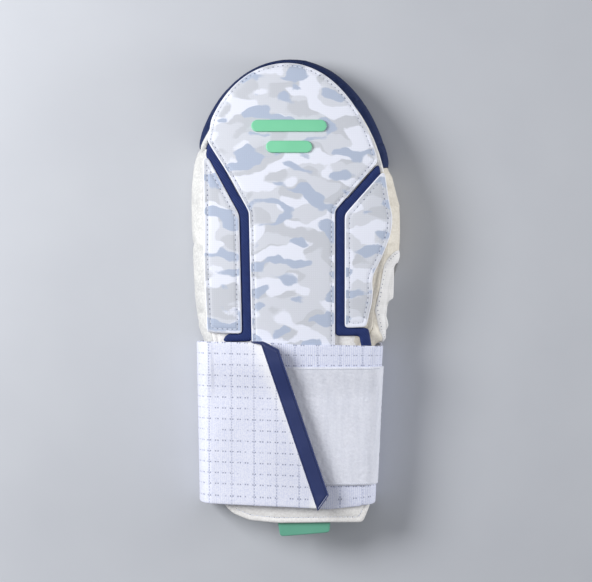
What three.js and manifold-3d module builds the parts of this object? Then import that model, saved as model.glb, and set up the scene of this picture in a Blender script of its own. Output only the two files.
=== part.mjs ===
// Sliding mitt for a left hand: a hollow padded mitt that lies palm down, with printed guard plates on
// the back of the hand, a toe cap round the fingertips, a thumb hole and a wide elastic wrist strap.
// Millimetres, +Z up, fingertips towards +Y, thumb towards +X, palm on z = 0.
import * as THREE from "three";
import { mergeVertices } from "three/addons/utils/BufferGeometryUtils.js";
import Module from "manifold-3d";

const wasm = await Module();
wasm.setup();

// Driving dimensions
const gap = 0.3; // clearance between neighbouring pieces
const wallThick = 3; // padded side wall
const palmThick = 3;
const backThick = 2.5;
const guardThick = 3.2;
const channelThick = 2; // the channels lie lower than the guards on each side
const channelWidth = 5.4;
const wristLift = 2.6; // the palm rises at the wrist, so that the strap passes under it
const wristRamp = { start: -7, end: -25, steps: 4 };
const crown = { drop: 6, halfWidth: 65 }; // the back falls away to each side of the middle
const middle = 1.5; // y of the middle of the overall length, which becomes the origin

// Grid that the sheets on the back are cut from, wider and longer than the mitt
const sheetGrid = { halfWidth: 68, from: -150, to: 152, columns: 14, rows: 28 };
const cutterHeight = 80;
const weldDistance = 1e-3; // points this close are one point

// Plan outline of the body and height of the back, wrist to knuckles
const bodyRows = [
  { y: -137, left: -44, right: 45, top: 33 },
  { y: -118, left: -48, right: 46, top: 33.5 },
  { y: -80, left: -54, right: 48, top: 35 },
  { y: -30, left: -58.2, right: 50, top: 37.4 },
  { y: -21, left: -60.2, right: 54.6, top: 37.8 },
  { y: -9, left: -61.6, right: 55.8, top: 38 },
  { y: 3, left: -62.8, right: 58.6, top: 38.2 },
  { y: 18, left: -63.8, right: 61.4, top: 38.4 },
  { y: 30, left: -64.4, right: 64, top: 38.4 },
  { y: 57.5, left: -65, right: 64.4, top: 38 },
];
const toe = { x: -0.3, y: 57.5, halfWidth: 64.7, reach: 91.2, lean: -3.4, fall: 14 };
const toeCap = { leftAngle: 157, rightAngle: 15, steps: 22 };
const gusset = { end: -118, wristEnd: -30, wristSteps: 5, handSteps: 12, toeSteps: 4 }; // end under strap

// Corner ellipses of a side wall: run is the inset in plan, rise the height
const upperCorner = { run: 8, rise: 12, steps: 5 };
const lowerCorner = { run: 6, rise: 8, steps: 4 };

// Cuff tongues at the wrist mouth, which spread below the strap and have an uneven pair of corners
const tongue = { end: -137.2, left: -43, right: 45, leftRun: 24, rightRun: 7, steps: 6 };

// Guard plates and the channels between them, seen in plan
const guardArch = { x: -1.7, halfWidth: 55.5, reach: 87.7, lean: -4, steps: 32 };
const guardTuck = -36; // the centre guard runs on under the strap
const channelLeft = [
  { x: -55, y: 94.5 },
  { x: -31.6, y: 51.6 },
  { x: -29.8, y: -23.2 },
  { x: -44, y: -23.8 },
];
const channelRight = [
  { x: 53.2, y: 82.2 },
  { x: 26.7, y: 52.2 },
  { x: 26.7, y: -19.8 },
  { x: 41.3, y: -19.8 },
  { x: 43.6, y: -32 },
];
const leftGuardEdge = [
  { x: -51.2, y: -19.8 },
  { x: -53.7, y: 23.2 },
  { x: -54.3, y: 59.8 },
  { x: -55.2, y: 86 },
];
const rightGuardEdge = [
  { x: 54.3, y: 77 },
  { x: 57.9, y: 51 },
  { x: 56.4, y: 37 },
  { x: 53, y: 25.6 },
  { x: 48.8, y: 10.4 },
  { x: 46, y: -4.3 },
  { x: 42.6, y: -16.4 },
];

// Thumb hole in the side wall: an ellipse that faces out and up
const thumbHole = { x: 56, y: 1, z: 20, halfLength: 21, halfHeight: 9.5, tilt: 35, cutDepth: 60, steps: 14 };
const thumbRim = { width: 5.2, thick: 1.5, skinReach: 30, skinSteps: 18 };

// Wrist strap: one band that starts under its own flap, goes round the wrist and ends on a slant
const strap = { top: -27, bottom: -126.8, thick: 2, startX: -44, layerGap: 1.9, lowerSteps: 9, flapSteps: 7 };
const strapSides = { leftTop: -61.6, leftBottom: -60, rightTop: 54, rightBottom: 49.4 };
const strapOverGuard = { lift: 3.6, fullTo: -37, goneBy: -62, steps: 4 };
const flapEnd = { topX: -15.5, bottomX: 16.2 };
const loopPatch = { top: -40.6, bottom: -114.5, startX: -26, thick: 1.2, turn: 72, rows: 6, columns: 7 };
const endBar = {
  thick: 2.4,
  corners: [
    { x: -20.5, y: -26.8 },
    { x: -10.2, y: -30.7 },
    { x: 19.9, y: -119.2 },
    { x: 13.2, y: -127.6 },
  ],
};

// Pull tab under the cuff, and two plain bars on the centre guard
const pullTab = { x: 5, width: 31.5, end: -145.7, start: -118, thick: 2, corner: 5 };
const roundSteps = 5; // steps of a round corner
const badgeThick = 1.4;
const badgeBars = [
  { name: "badge_bar_upper", x: -4.3, y: 105, length: 46, width: 7.4 },
  { name: "badge_bar_lower", x: -4.3, y: 92, length: 28, width: 7.4 },
];

// Materials
const cloth = (color, roughness = 0.85) => new THREE.MeshStandardMaterial({ color, roughness, metalness: 0 });
const whiteLeather = cloth(0xf2f2f0, 0.6);
const creamLeather = cloth(0xdcd6c8, 0.65);
const printedCloth = cloth(0xd2d6e0);
const navyCloth = cloth(0x2a3662);
const navyRubber = cloth(0x343f68, 0.5);
const greenRubber = cloth(0x84cdab, 0.5);
const whiteKnit = cloth(0xe2e2e6);
const whiteElastic = cloth(0xe4e6f4);
const whiteLoop = cloth(0xd6d9e6, 0.95);

const { clamp, degToRad, lerp, radToDeg, smoothstep } = THREE.MathUtils;
const quarterTurn = Math.PI / 2;
const vector2 = ({ x, y }) => new THREE.Vector2(x, y);

// Evenly spaced values from one end to the other, both included
function spread(from, to, steps) {
  return Array.from({ length: steps + 1 }, (_, i) => lerp(from, to, i / steps));
}

// A column of a table at any y, on a smooth cubic through the rows
function column(rows, key, y) {
  const last = rows.length - 1;
  let i = 0;
  while (i < last - 1 && y > rows[i + 1].y) i++;
  const slope = (j) => {
    const before = rows[Math.max(j - 1, 0)];
    const after = rows[Math.min(j + 1, last)];
    return (after[key] - before[key]) / (after.y - before.y);
  };
  const span = rows[i + 1].y - rows[i].y;
  const t = clamp((y - rows[i].y) / span, 0, 1);
  const rise = t * t * (3 - 2 * t);
  const leaving = t * (1 - t) * (1 - t) * span * slope(i);
  const arriving = t * t * (t - 1) * span * slope(i + 1);
  return lerp(rows[i][key], rows[i + 1][key], rise) + leaving + arriving;
}

// Height of the soft back at a place in plan, under the guards
function backHeight(x, y) {
  const pastKnuckles = Math.max(0, (y - toe.y) / toe.reach);
  const ridge = column(bodyRows, "top", Math.min(y, toe.y)) - toe.fall * pastKnuckles ** 2;
  return ridge - crown.drop * (x / crown.halfWidth) ** 2;
}

// Height of the palm's underside
function palmHeight(y) {
  return wristLift * (1 - smoothstep(y, wristRamp.end, wristRamp.start));
}

// Outlines in plan: the sides of the body by their y, the toe and the centre guard by an angle
const onSide = (side) => (y) => new THREE.Vector2(column(bodyRows, side, y), y);
function onArch(arch) {
  return (angle) => {
    const turn = degToRad(angle);
    const x = arch.x + arch.halfWidth * Math.cos(turn) + arch.lean * Math.sin(turn);
    return new THREE.Vector2(x, toe.y + arch.reach * Math.sin(turn));
  };
}

// A point of the body's outline with the unit vector that points into the body
function station(curve, at, step) {
  const along = curve(at + step).sub(curve(at - step)).normalize();
  return { edge: curve(at), inward: new THREE.Vector2(along.y, -along.x) };
}
const leftStation = (y) => station(onSide("left"), y, 0.5);
const rightStation = (y) => station(onSide("right"), y, -0.5);
const toeStation = (angle) => station(onArch(toe), angle, -0.5);

function insetPoint({ edge, inward }, inset) {
  return edge.clone().addScaledVector(inward, inset);
}

// Section of the side wall at a station, from the palm seam up to the back seam, moved out by some offset
function wallSection(at, offset) {
  const cornerPoint = (corner, turn, height) => {
    const inset = corner.run * (1 - Math.sin(turn)) - offset * Math.sin(turn);
    const { x, y } = insetPoint(at, inset);
    const fromSeam = corner.rise * (1 - Math.cos(turn)) - offset * Math.cos(turn);
    return new THREE.Vector3(x, y, height(x, y, fromSeam));
  };
  const low = spread(0, quarterTurn, lowerCorner.steps).map((turn) =>
    cornerPoint(lowerCorner, turn, (x, y, fromSeam) => palmHeight(y) + fromSeam));
  const high = spread(quarterTurn, 0, upperCorner.steps).map((turn) =>
    cornerPoint(upperCorner, turn, (x, y, fromSeam) => backHeight(x, y) - fromSeam));
  return [...low, ...high];
}

// A closed solid between two grids of points with the same rows and columns, the lower or inner one first
function solidBetween(inner, outer) {
  const rows = inner.length;
  const columns = inner[0].length;
  const vertices = [...inner.flat(), ...outer.flat()].flatMap((p) => [p.x, p.y, p.z]);
  const faces = [];
  const at = (layer, i, j) => layer * rows * columns + i * columns + j;
  const quad = (a, b, c, d) => faces.push(a, b, c, a, c, d);
  for (let i = 0; i < rows - 1; i++) {
    for (let j = 0; j < columns - 1; j++) {
      quad(at(0, i, j), at(0, i + 1, j), at(0, i + 1, j + 1), at(0, i, j + 1));
      quad(at(1, i, j), at(1, i, j + 1), at(1, i + 1, j + 1), at(1, i + 1, j));
    }
    quad(at(0, i, 0), at(1, i, 0), at(1, i + 1, 0), at(0, i + 1, 0));
    quad(at(0, i, columns - 1), at(0, i + 1, columns - 1), at(1, i + 1, columns - 1), at(1, i, columns - 1));
  }
  for (let j = 0; j < columns - 1; j++) {
    quad(at(0, 0, j), at(0, 0, j + 1), at(1, 0, j + 1), at(1, 0, j));
    quad(at(0, rows - 1, j), at(1, rows - 1, j), at(1, rows - 1, j + 1), at(0, rows - 1, j + 1));
  }
  const geometry = new THREE.BufferGeometry();
  geometry.setAttribute("position", new THREE.Float32BufferAttribute(vertices, 3));
  geometry.setIndex(faces);
  return geometry;
}

// Joins and cuts
function toSolid(geometry) {
  const bare = geometry.clone();
  bare.deleteAttribute("normal");
  bare.deleteAttribute("uv");
  const { attributes, index } = mergeVertices(bare, weldDistance);
  const vertProperties = new Float32Array(attributes.position.array);
  const triVerts = new Uint32Array(index.array);
  return new wasm.Manifold(new wasm.Mesh({ numProp: 3, vertProperties, triVerts }));
}

function toGeometry(solid) {
  const { vertProperties, triVerts } = solid.getMesh();
  const geometry = new THREE.BufferGeometry();
  geometry.setAttribute("position", new THREE.BufferAttribute(vertProperties, 3));
  geometry.setIndex(new THREE.BufferAttribute(triVerts, 1));
  return geometry;
}

// A sheet between two heights over a grid in plan
function sheetSolid(columns, rows, under, over) {
  const layer = (height) => rows.map((y) => columns.map((x) => new THREE.Vector3(x, y, height(x, y))));
  return toSolid(solidBetween(layer(under), layer(over)));
}

function prism(points) {
  const shape = new THREE.Shape(points.map(vector2));
  const geometry = new THREE.ExtrudeGeometry(shape, { depth: 2 * cutterHeight, bevelEnabled: false });
  return toSolid(geometry.translate(0, 0, -cutterHeight));
}

// A sheet that follows the back at some height over it, cut to one or more outlines
function backSheet(seat, thick, ...outlines) {
  const sheet = sheetSolid(
    spread(-sheetGrid.halfWidth, sheetGrid.halfWidth, sheetGrid.columns),
    spread(sheetGrid.from, sheetGrid.to, sheetGrid.rows),
    (x, y) => backHeight(x, y) + seat,
    (x, y) => backHeight(x, y) + seat + thick,
  );
  return toGeometry(outlines.reduce((solid, outline) => solid.intersect(prism(outline)), sheet));
}

// Stations round the body, wrist on the little finger side, round the toe, to the wrist on the thumb side
const sideYs = [
  ...spread(gusset.end, gusset.wristEnd, gusset.wristSteps),
  ...spread(strap.top, toe.y, gusset.handSteps).slice(0, -1),
];
const seamAngle = radToDeg(gap / toe.reach);
const leftStations = [
  ...sideYs.map(leftStation),
  ...spread(180, toeCap.leftAngle + seamAngle, gusset.toeSteps).map(toeStation),
];
const capStations = spread(toeCap.leftAngle, toeCap.rightAngle, toeCap.steps).map(toeStation);
const thumbStations = [
  ...spread(toeCap.rightAngle - seamAngle, 0, gusset.toeSteps).map(toeStation),
  ...sideYs.toReversed().map(rightStation),
];

function sideWall(stations, offset = 0, thick = wallThick, firstPoint = 0) {
  const layer = (reach) => stations.map((at) => wallSection(at, reach).slice(firstPoint));
  return solidBetween(layer(offset - thick), layer(offset));
}

// Outline of a panel that lies inside the side walls, with a rounded tongue past the strap at the wrist
function panelOutline(inset) {
  const sides = [...leftStations, ...capStations, ...thumbStations].map((at) => insetPoint(at, inset));
  const mouth = strap.bottom - gap;
  const rise = mouth - tongue.end;
  const corner = (side, run) => spread(0, quarterTurn, tongue.steps).map((turn) =>
    new THREE.Vector2(side - run * (1 - Math.cos(turn)), mouth - rise * Math.sin(turn)));
  return [
    ...sides,
    new THREE.Vector2(sides.at(-1).x, mouth),
    ...corner(tongue.right, tongue.rightRun),
    ...corner(tongue.left, -tongue.leftRun).toReversed(),
    new THREE.Vector2(sides[0].x, mouth),
  ];
}

function palmPanel() {
  const ramp = spread(wristRamp.end, wristRamp.start, wristRamp.steps);
  const sheet = sheetSolid(
    [-sheetGrid.halfWidth, sheetGrid.halfWidth],
    [sheetGrid.from, ...ramp, sheetGrid.to],
    (x, y) => palmHeight(y),
    (x, y) => palmHeight(y) + palmThick,
  );
  return toGeometry(sheet.intersect(prism(panelOutline(lowerCorner.run + gap))));
}

function backPanel() {
  return backSheet(-backThick, backThick, panelOutline(upperCorner.run + gap));
}

// An ellipse, some way larger than the hole, run along the way that the thumb comes out
function thumbCutter(grow) {
  const { halfLength, halfHeight, cutDepth, steps, x, y, z } = thumbHole;
  const tilt = degToRad(thumbHole.tilt);
  const ellipse = new THREE.Shape();
  ellipse.absellipse(0, 0, halfLength + grow, halfHeight + grow, 0, 2 * Math.PI);
  const settings = { depth: cutDepth, bevelEnabled: false, curveSegments: steps };
  const geometry = new THREE.ExtrudeGeometry(ellipse, settings).translate(0, 0, -cutDepth / 2);
  geometry.applyMatrix4(new THREE.Matrix4().makeBasis(
    new THREE.Vector3(0, 1, 0),
    new THREE.Vector3(-Math.sin(tilt), 0, Math.cos(tilt)),
    new THREE.Vector3(Math.cos(tilt), 0, Math.sin(tilt)),
  ));
  return toSolid(geometry.translate(x, y, z));
}

function thumbGusset() {
  return toGeometry(toSolid(sideWall(thumbStations)).subtract(thumbCutter(0)));
}

function thumbRimRing() {
  const reach = thumbRim.skinReach;
  const stations = spread(thumbHole.y + reach, thumbHole.y - reach, thumbRim.skinSteps).map(rightStation);
  const abovePalm = lowerCorner.steps / 2;
  const skin = toSolid(sideWall(stations, gap + thumbRim.thick, thumbRim.thick, abovePalm));
  return toGeometry(skin.intersect(thumbCutter(thumbRim.width)).subtract(thumbCutter(0)));
}

// A line of points moved sideways, with the corners mitred; left is positive
function movedAside(line, distance) {
  const points = line.map(vector2);
  const along = points.slice(1).map((point, i) => point.clone().sub(points[i]).normalize());
  return points.map((point, i) => {
    const arriving = along[Math.max(i - 1, 0)];
    const leaving = along[Math.min(i, along.length - 1)];
    const aside = new THREE.Vector2(-arriving.y - leaving.y, arriving.x + leaving.x).normalize();
    const mitre = distance / (aside.y * arriving.x - aside.x * arriving.y);
    return point.clone().addScaledVector(aside, mitre);
  });
}

function ribbon(line) {
  return [...movedAside(line, channelWidth / 2), ...movedAside(line, -channelWidth / 2).toReversed()];
}

// The place where a straight line through two points reaches some y
function reaching([start, end], y) {
  return new THREE.Vector2(lerp(start.x, end.x, (y - start.y) / (end.y - start.y)), y);
}

// The arch that the centre guard and both channels end on
function archOutline() {
  const arch = spread(0, 180, guardArch.steps).map(onArch(guardArch));
  return [...arch, { x: arch.at(-1).x, y: guardTuck }, { x: arch[0].x, y: guardTuck }];
}

// The field between the two channels, open towards the fingertips
function centreField() {
  const aside = channelWidth / 2 + gap;
  const left = movedAside(channelLeft, aside);
  const right = movedAside(channelRight, -aside);
  return [
    { x: left[2].x, y: guardTuck },
    { x: right[2].x, y: guardTuck },
    right[1],
    reaching(right, sheetGrid.to),
    reaching(left, sheetGrid.to),
    left[1],
  ];
}

function leftGuardOutline() {
  const channel = movedAside(channelLeft, -(channelWidth / 2 + gap));
  return [...leftGuardEdge, reaching(channel, leftGuardEdge.at(-1).y), channel[1], channel[2]];
}

function rightGuardOutline() {
  const channel = movedAside(channelRight, channelWidth / 2 + gap);
  return [...rightGuardEdge, channel[2], channel[1], reaching(channel, rightGuardEdge[0].y)];
}

// Height of the strap's lower layer and of its flap, at the middle of the band
function strapOver(x, y) {
  const overGuard = strapOverGuard.lift * smoothstep(y, strapOverGuard.goneBy, strapOverGuard.fullTo);
  return backHeight(x, y) + overGuard + gap + strap.thick / 2;
}
const flapOver = (x, y) => strapOver(x, y) + strap.thick + strap.layerGap;

// Corners of the band's middle line: outside the body's own corners by the gap and half the band
const bandOut = gap + strap.thick / 2;
const bandUpperRun = upperCorner.run + bandOut;
const bandLowerRun = lowerCorner.run + bandOut;
const bandLowerRise = lowerCorner.rise + wristLift - strap.thick / 2;

function bandSides(y) {
  const down = clamp((strap.top - y) / (strap.top - strap.bottom), 0, 1);
  return {
    down,
    left: lerp(strapSides.leftTop, strapSides.leftBottom, down) + strap.thick / 2,
    right: lerp(strapSides.rightTop, strapSides.rightBottom, down) - strap.thick / 2,
  };
}

// The lower layer in x and z, from some x over the thumb edge, as far round the corner as the turn says
function overThumbEdge(y, startX, turn, steps) {
  const { right } = bandSides(y);
  const cornerX = right - bandUpperRun;
  const top = strapOver(cornerX, y);
  const rise = top - (backHeight(right, y) - upperCorner.rise);
  const across = spread(startX, cornerX, steps).map((x) => new THREE.Vector2(x, strapOver(x, y)));
  const round = spread(0, turn, upperCorner.steps).slice(1).map(
    (t) => new THREE.Vector2(cornerX + bandUpperRun * Math.sin(t), top - rise * (1 - Math.cos(t))),
  );
  return [...across, ...round];
}

// The whole band in x and z at one y: over the thumb edge, under the palm, up and over to the slanted end
function strapPath(y) {
  const { down, left, right } = bandSides(y);
  const bottom = strap.thick / 2;
  const lowerTurn = spread(0, quarterTurn, lowerCorner.steps);
  const underThumb = lowerTurn.map((t) => new THREE.Vector2(
    right - bandLowerRun * (1 - Math.cos(t)),
    bottom + bandLowerRise * (1 - Math.sin(t)),
  ));
  const underOuter = lowerTurn.map((t) => new THREE.Vector2(
    left + bandLowerRun * (1 - Math.sin(t)),
    bottom + bandLowerRise * (1 - Math.cos(t)),
  ));
  const cornerX = left + bandUpperRun;
  const top = flapOver(cornerX, y);
  const rise = top - (backHeight(left, y) - upperCorner.rise);
  const upOuter = spread(0, quarterTurn, upperCorner.steps).map((t) => new THREE.Vector2(
    cornerX - bandUpperRun * Math.cos(t),
    top - rise * (1 - Math.sin(t)),
  ));
  const end = lerp(flapEnd.topX, flapEnd.bottomX, down);
  const flapXs = spread(cornerX, end, strap.flapSteps).slice(1);
  const flap = flapXs.map((x) => new THREE.Vector2(x, flapOver(x, y)));
  const lowerLayer = overThumbEdge(y, strap.startX, quarterTurn, strap.lowerSteps);
  return [...lowerLayer, ...underThumb, ...underOuter, ...upOuter, ...flap];
}

// A path in x and z moved to one side, at one y
function pathAside(path, y, distance) {
  return movedAside(path, distance).map(({ x, y: z }) => new THREE.Vector3(x, y, z));
}

const overGuardYs = spread(strapOverGuard.goneBy, strapOverGuard.fullTo, strapOverGuard.steps);
function wristStrap() {
  const ys = [strap.bottom, (strap.bottom + strapOverGuard.goneBy) / 2, ...overGuardYs, strap.top];
  const side = (distance) => ys.map((y) => pathAside(strapPath(y), y, distance));
  return solidBetween(side(-strap.thick / 2), side(strap.thick / 2));
}

// Patch of loop pile on the lower layer, over its thumb edge and down the side
function loopPatchSheet() {
  const ys = spread(loopPatch.bottom, loopPatch.top, loopPatch.rows);
  const path = (y) => overThumbEdge(y, loopPatch.startX, degToRad(loopPatch.turn), loopPatch.columns);
  const base = strap.thick / 2 + gap;
  const side = (distance) => ys.map((y) => pathAside(path(y), y, distance));
  return solidBetween(side(base), side(base + loopPatch.thick));
}

// Moulded bar on the slanted end of the flap
function strapEndBar() {
  const seat = (x, y) => flapOver(x, y) + strap.thick / 2 + gap;
  const sheet = sheetSolid(
    spread(-sheetGrid.halfWidth, sheetGrid.halfWidth, sheetGrid.columns),
    [sheetGrid.from, ...overGuardYs, 0],
    seat,
    (x, y) => seat(x, y) + endBar.thick,
  );
  return toGeometry(sheet.intersect(prism(endBar.corners)));
}

// Outline of a box with round corners, in the middle of some x and from one y to another
function roundedBox(x, low, high, width, corner) {
  const shape = new THREE.Shape();
  const [left, right] = [x - width / 2, x + width / 2];
  shape.moveTo(left + corner, low);
  shape.absarc(right - corner, low + corner, corner, -quarterTurn, 0);
  shape.absarc(right - corner, high - corner, corner, 0, quarterTurn);
  shape.absarc(left + corner, high - corner, corner, quarterTurn, 2 * quarterTurn);
  shape.absarc(left + corner, low + corner, corner, 2 * quarterTurn, 3 * quarterTurn);
  return shape.getPoints(roundSteps).slice(0, -1);
}

function pullTabSheet() {
  const outline = roundedBox(pullTab.x, pullTab.end, pullTab.start, pullTab.width, pullTab.corner);
  return backSheet(-backThick - gap - pullTab.thick, pullTab.thick, outline);
}

function badgeBar({ x, y, length, width }) {
  const outline = roundedBox(x, y - width / 2, y + width / 2, length, width / 2 - weldDistance);
  return backSheet(2 * gap + guardThick, badgeThick, outline);
}

// Assembly
const mitt = new THREE.Group();
mitt.position.y = -middle;

function addPiece(name, geometry, material) {
  const shown = geometry.toNonIndexed();
  shown.computeVertexNormals();
  const mesh = new THREE.Mesh(shown, material);
  mesh.name = name;
  mitt.add(mesh);
}

addPiece("palm_panel", palmPanel(), whiteLeather);
addPiece("gusset_outer", sideWall(leftStations), whiteLeather);
addPiece("toe_cap", sideWall(capStations), navyCloth);
addPiece("gusset_thumb", thumbGusset(), creamLeather);
addPiece("thumb_rim", thumbRimRing(), whiteKnit);
addPiece("back_panel", backPanel(), whiteLeather);
addPiece("guard_centre", backSheet(gap, guardThick, archOutline(), centreField()), printedCloth);
addPiece("guard_outer", backSheet(gap, guardThick, leftGuardOutline()), printedCloth);
addPiece("guard_thumb", backSheet(gap, guardThick, rightGuardOutline()), printedCloth);
addPiece("channel_outer", backSheet(gap, channelThick, archOutline(), ribbon(channelLeft)), navyCloth);
addPiece("channel_thumb", backSheet(gap, channelThick, archOutline(), ribbon(channelRight)), navyCloth);
addPiece("wrist_strap", wristStrap(), whiteElastic);
addPiece("loop_patch", loopPatchSheet(), whiteLoop);
addPiece("strap_end_bar", strapEndBar(), navyRubber);
addPiece("pull_tab", pullTabSheet(), greenRubber);
for (const bar of badgeBars) addPiece(bar.name, badgeBar(bar), greenRubber);

export default mitt;
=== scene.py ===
import math
from functools import partial
import bmesh
import bpy
import numpy as np
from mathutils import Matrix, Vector, geometry, noise
from mathutils.bvhtree import BVHTree


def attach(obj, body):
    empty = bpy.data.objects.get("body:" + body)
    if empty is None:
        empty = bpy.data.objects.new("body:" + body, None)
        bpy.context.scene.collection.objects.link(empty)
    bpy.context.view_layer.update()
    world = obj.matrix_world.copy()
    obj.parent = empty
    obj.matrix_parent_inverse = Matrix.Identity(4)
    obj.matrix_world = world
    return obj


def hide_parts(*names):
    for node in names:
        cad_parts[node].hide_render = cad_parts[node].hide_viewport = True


# Sliding mitt for a left hand, lying palm down. Sizes are in millimetres, in the frame of the CAD solids:
# +Y to the fingertips, +X to the thumb, +Z up out of the back of the hand.

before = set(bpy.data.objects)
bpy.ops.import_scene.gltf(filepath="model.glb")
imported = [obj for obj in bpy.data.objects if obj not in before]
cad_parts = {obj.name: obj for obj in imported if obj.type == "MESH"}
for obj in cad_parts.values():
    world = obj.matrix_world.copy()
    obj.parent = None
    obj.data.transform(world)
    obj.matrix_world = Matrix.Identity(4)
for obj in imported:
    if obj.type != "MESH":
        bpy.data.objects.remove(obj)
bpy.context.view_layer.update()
print("frame loaded,", len(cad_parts), "CAD nodes")

mm = 0.001
fullTurn = 2 * math.pi
halfPi = math.pi / 2
perMm = 1 / mm  # a noise scale for a feature of one millimetre
waveTurn = fullTurn / 20  # a wave texture's scale for a period of one metre


# Materials

def hexToLinear(code):
    parts = [int(code[i:i + 2], 16) / 255 for i in (1, 3, 5)]
    return [*(c / 12.92 if c <= 0.04045 else ((c + 0.055) / 1.055) ** 2.4 for c in parts), 1.0]


def addNode(tree, kind, inputs, out=0, **settings):
    made = tree.nodes.new("ShaderNode" + kind)
    for key, value in settings.items():
        setattr(made, key, value)
    for socket, value in inputs.items():
        if isinstance(value, bpy.types.NodeSocket):
            tree.links.new(value, made.inputs[socket])
        else:
            made.inputs[socket].default_value = value
    return made.outputs[out]


# A material, the function that adds to its nodes, and where a point lies on the object or on the flat cloth
def startMaterial(name, s, flatCloth=False):
    material = bpy.data.materials.new(name)
    material.use_nodes = True
    add = partial(addNode, material.node_tree)
    for socket, value in s["shader"].items():
        material.node_tree.nodes["Principled BSDF"].inputs[socket].default_value = value
    place = add("UVMap", {}, uv_map="weave") if flatCloth else add("TexCoord", {}, "Object")
    return material, add, place


# The colour is a socket, or a mask between two tones
def finishMaterial(material, add, colour, height, s, tones=None, rough=None):
    if tones:
        low, high = (hexToLinear(tone) for tone in tones)
        colour = add("Mix", {0: colour, 6: low, 7: high}, 2, data_type="RGBA")
    bump = add("Bump", {"Height": height, "Strength": s["relief"], "Distance": s["reliefMm"] * mm})
    shader = material.node_tree.nodes["Principled BSDF"]
    for socket, value in (("Base Color", colour), ("Roughness", rough), ("Normal", bump)):
        if value is not None:
            material.node_tree.links.new(value, shader.inputs[socket])
    return material


# Printed polyester on foam: four pale tones in rounded blots, wider than tall, on a plain weave, matt
camoPrint = {
    "base": "#d3d6df",
    "blots": [
        {"tone": "#c6c9d1", "seed": 3.1, "sizeMm": 9.5, "above": 0.525},
        {"tone": "#e6e9f5", "seed": 12.4, "sizeMm": 10, "above": 0.55},
        {"tone": "#b1bcd1", "seed": 7.7, "sizeMm": 8.5, "above": 0.585},
    ],
    "blotDetail": 0.3, "widerThanTall": 1.9, "tiltDeg": 9, "edgeSoftness": 0.022,
    "warpMm": 8, "warpSizeMm": 10, "fray": 0.045, "frayMm": 1.5,
    "threadMm": 1.3,  # drawn coarser than the real 0.4 mm, so that the weave shows
    "threadWander": 0.4, "shade": (0.94, 1.03), "reliefMm": 0.12, "relief": 0.5,
    "shader": {"Roughness": 0.85, "IOR": 1.5, "Sheen Weight": 0.15, "Sheen Roughness": 0.5},
}


def printedCamoCloth():
    s = camoPrint
    material, add, place = startMaterial("printedCamoCloth", s)
    wander = add("TexNoise", {"Vector": place, "Scale": perMm / s["warpSizeMm"], "Detail": 1.0}, "Color")
    centred = add("VectorMath", {0: wander, 1: (0.5, 0.5, 0.5)}, operation="SUBTRACT")
    push = add("VectorMath", {0: centred, "Scale": s["warpMm"] * mm}, operation="SCALE")
    moved = add("VectorMath", {0: place, 1: push}, operation="ADD")
    slant = (0, 0, math.radians(s["tiltDeg"]))
    flat = add("Mapping", {"Vector": moved, "Rotation": slant, "Scale": (1 / s["widerThanTall"], 1, 0)})
    fray = add("TexNoise", {"Vector": place, "Scale": perMm / s["frayMm"], "Detail": 1.0})
    colour = hexToLinear(s["base"])
    for blot in s["blots"]:
        cloud = add("TexNoise", {
            "Vector": flat, "W": blot["seed"], "Scale": perMm / blot["sizeMm"], "Detail": s["blotDetail"]},
            noise_dimensions="4D")
        frayed = add("Math", {0: fray, 1: s["fray"], 2: cloud}, operation="MULTIPLY_ADD")
        middle = blot["above"] + s["fray"] / 2
        mask = add("MapRange", {
            "Value": frayed, "From Min": middle - s["edgeSoftness"], "From Max": middle + s["edgeSoftness"]},
            interpolation_type="SMOOTHSTEP")
        colour = add("Mix", {0: mask, 6: colour, 7: hexToLinear(blot["tone"])}, 2, data_type="RGBA")
    threads = {"Vector": place, "Scale": waveTurn / (s["threadMm"] * mm), "Distortion": s["threadWander"]}
    across, along = (add("TexWave", threads, 1, bands_direction=way) for way in "XY")
    weave = add("Math", {0: across, 1: along}, operation="MULTIPLY")
    low, high = s["shade"]
    shade = add("MapRange", {"Value": weave, "To Min": low, "To Max": high})
    woven = add("VectorMath", {0: colour, "Scale": shade}, operation="SCALE")
    return finishMaterial(material, add, woven, weave, s)


# Coated polyurethane leather on foam: even tone, a fine pebble grain and a soft satin shine
leatherGrain = {
    "pebbleMm": 1.3,  # drawn coarser than the real half millimetre, so that the grain shows
    "smooth": 0.6, "mottleMm": 11, "mottleDetail": 4.0, "grain": (0.6, 1.25), "reliefMm": 0.25, "relief": 0.6,
    "shader": {"Roughness": 0.52, "IOR": 1.5},
}


def syntheticLeather(name, *tones):
    s = leatherGrain
    material, add, place = startMaterial(name, s)
    pebble = add("TexVoronoi", {
        "Vector": place, "Scale": perMm / s["pebbleMm"], "Smoothness": s["smooth"]}, feature="SMOOTH_F1")
    mottle = add("TexNoise", {"Vector": place, "Scale": perMm / s["mottleMm"], "Detail": s["mottleDetail"]})
    grain = add("Math", {0: mottle, 1: pebble}, operation="ADD")
    low, high = s["grain"]
    mask = add("MapRange", {"Value": grain, "From Min": low, "From Max": high})
    height = add("Math", {0: mottle, 1: pebble}, operation="SUBTRACT")
    return finishMaterial(material, add, mask, height, s, tones)


# Dyed polyester twill: steep ribs that catch the light in streaks, matt
twillWeave = {
    "ribMm": 0.85,  # drawn coarser than the real 0.5 mm, so that the ribs show
    "ribWander": 1.2, "streakMm": 3, "streakDetail": 3.0, "reliefMm": 0.2, "relief": 0.6,
    "shader": {"Roughness": 0.75, "IOR": 1.5, "Specular IOR Level": 0.2},
}


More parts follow.
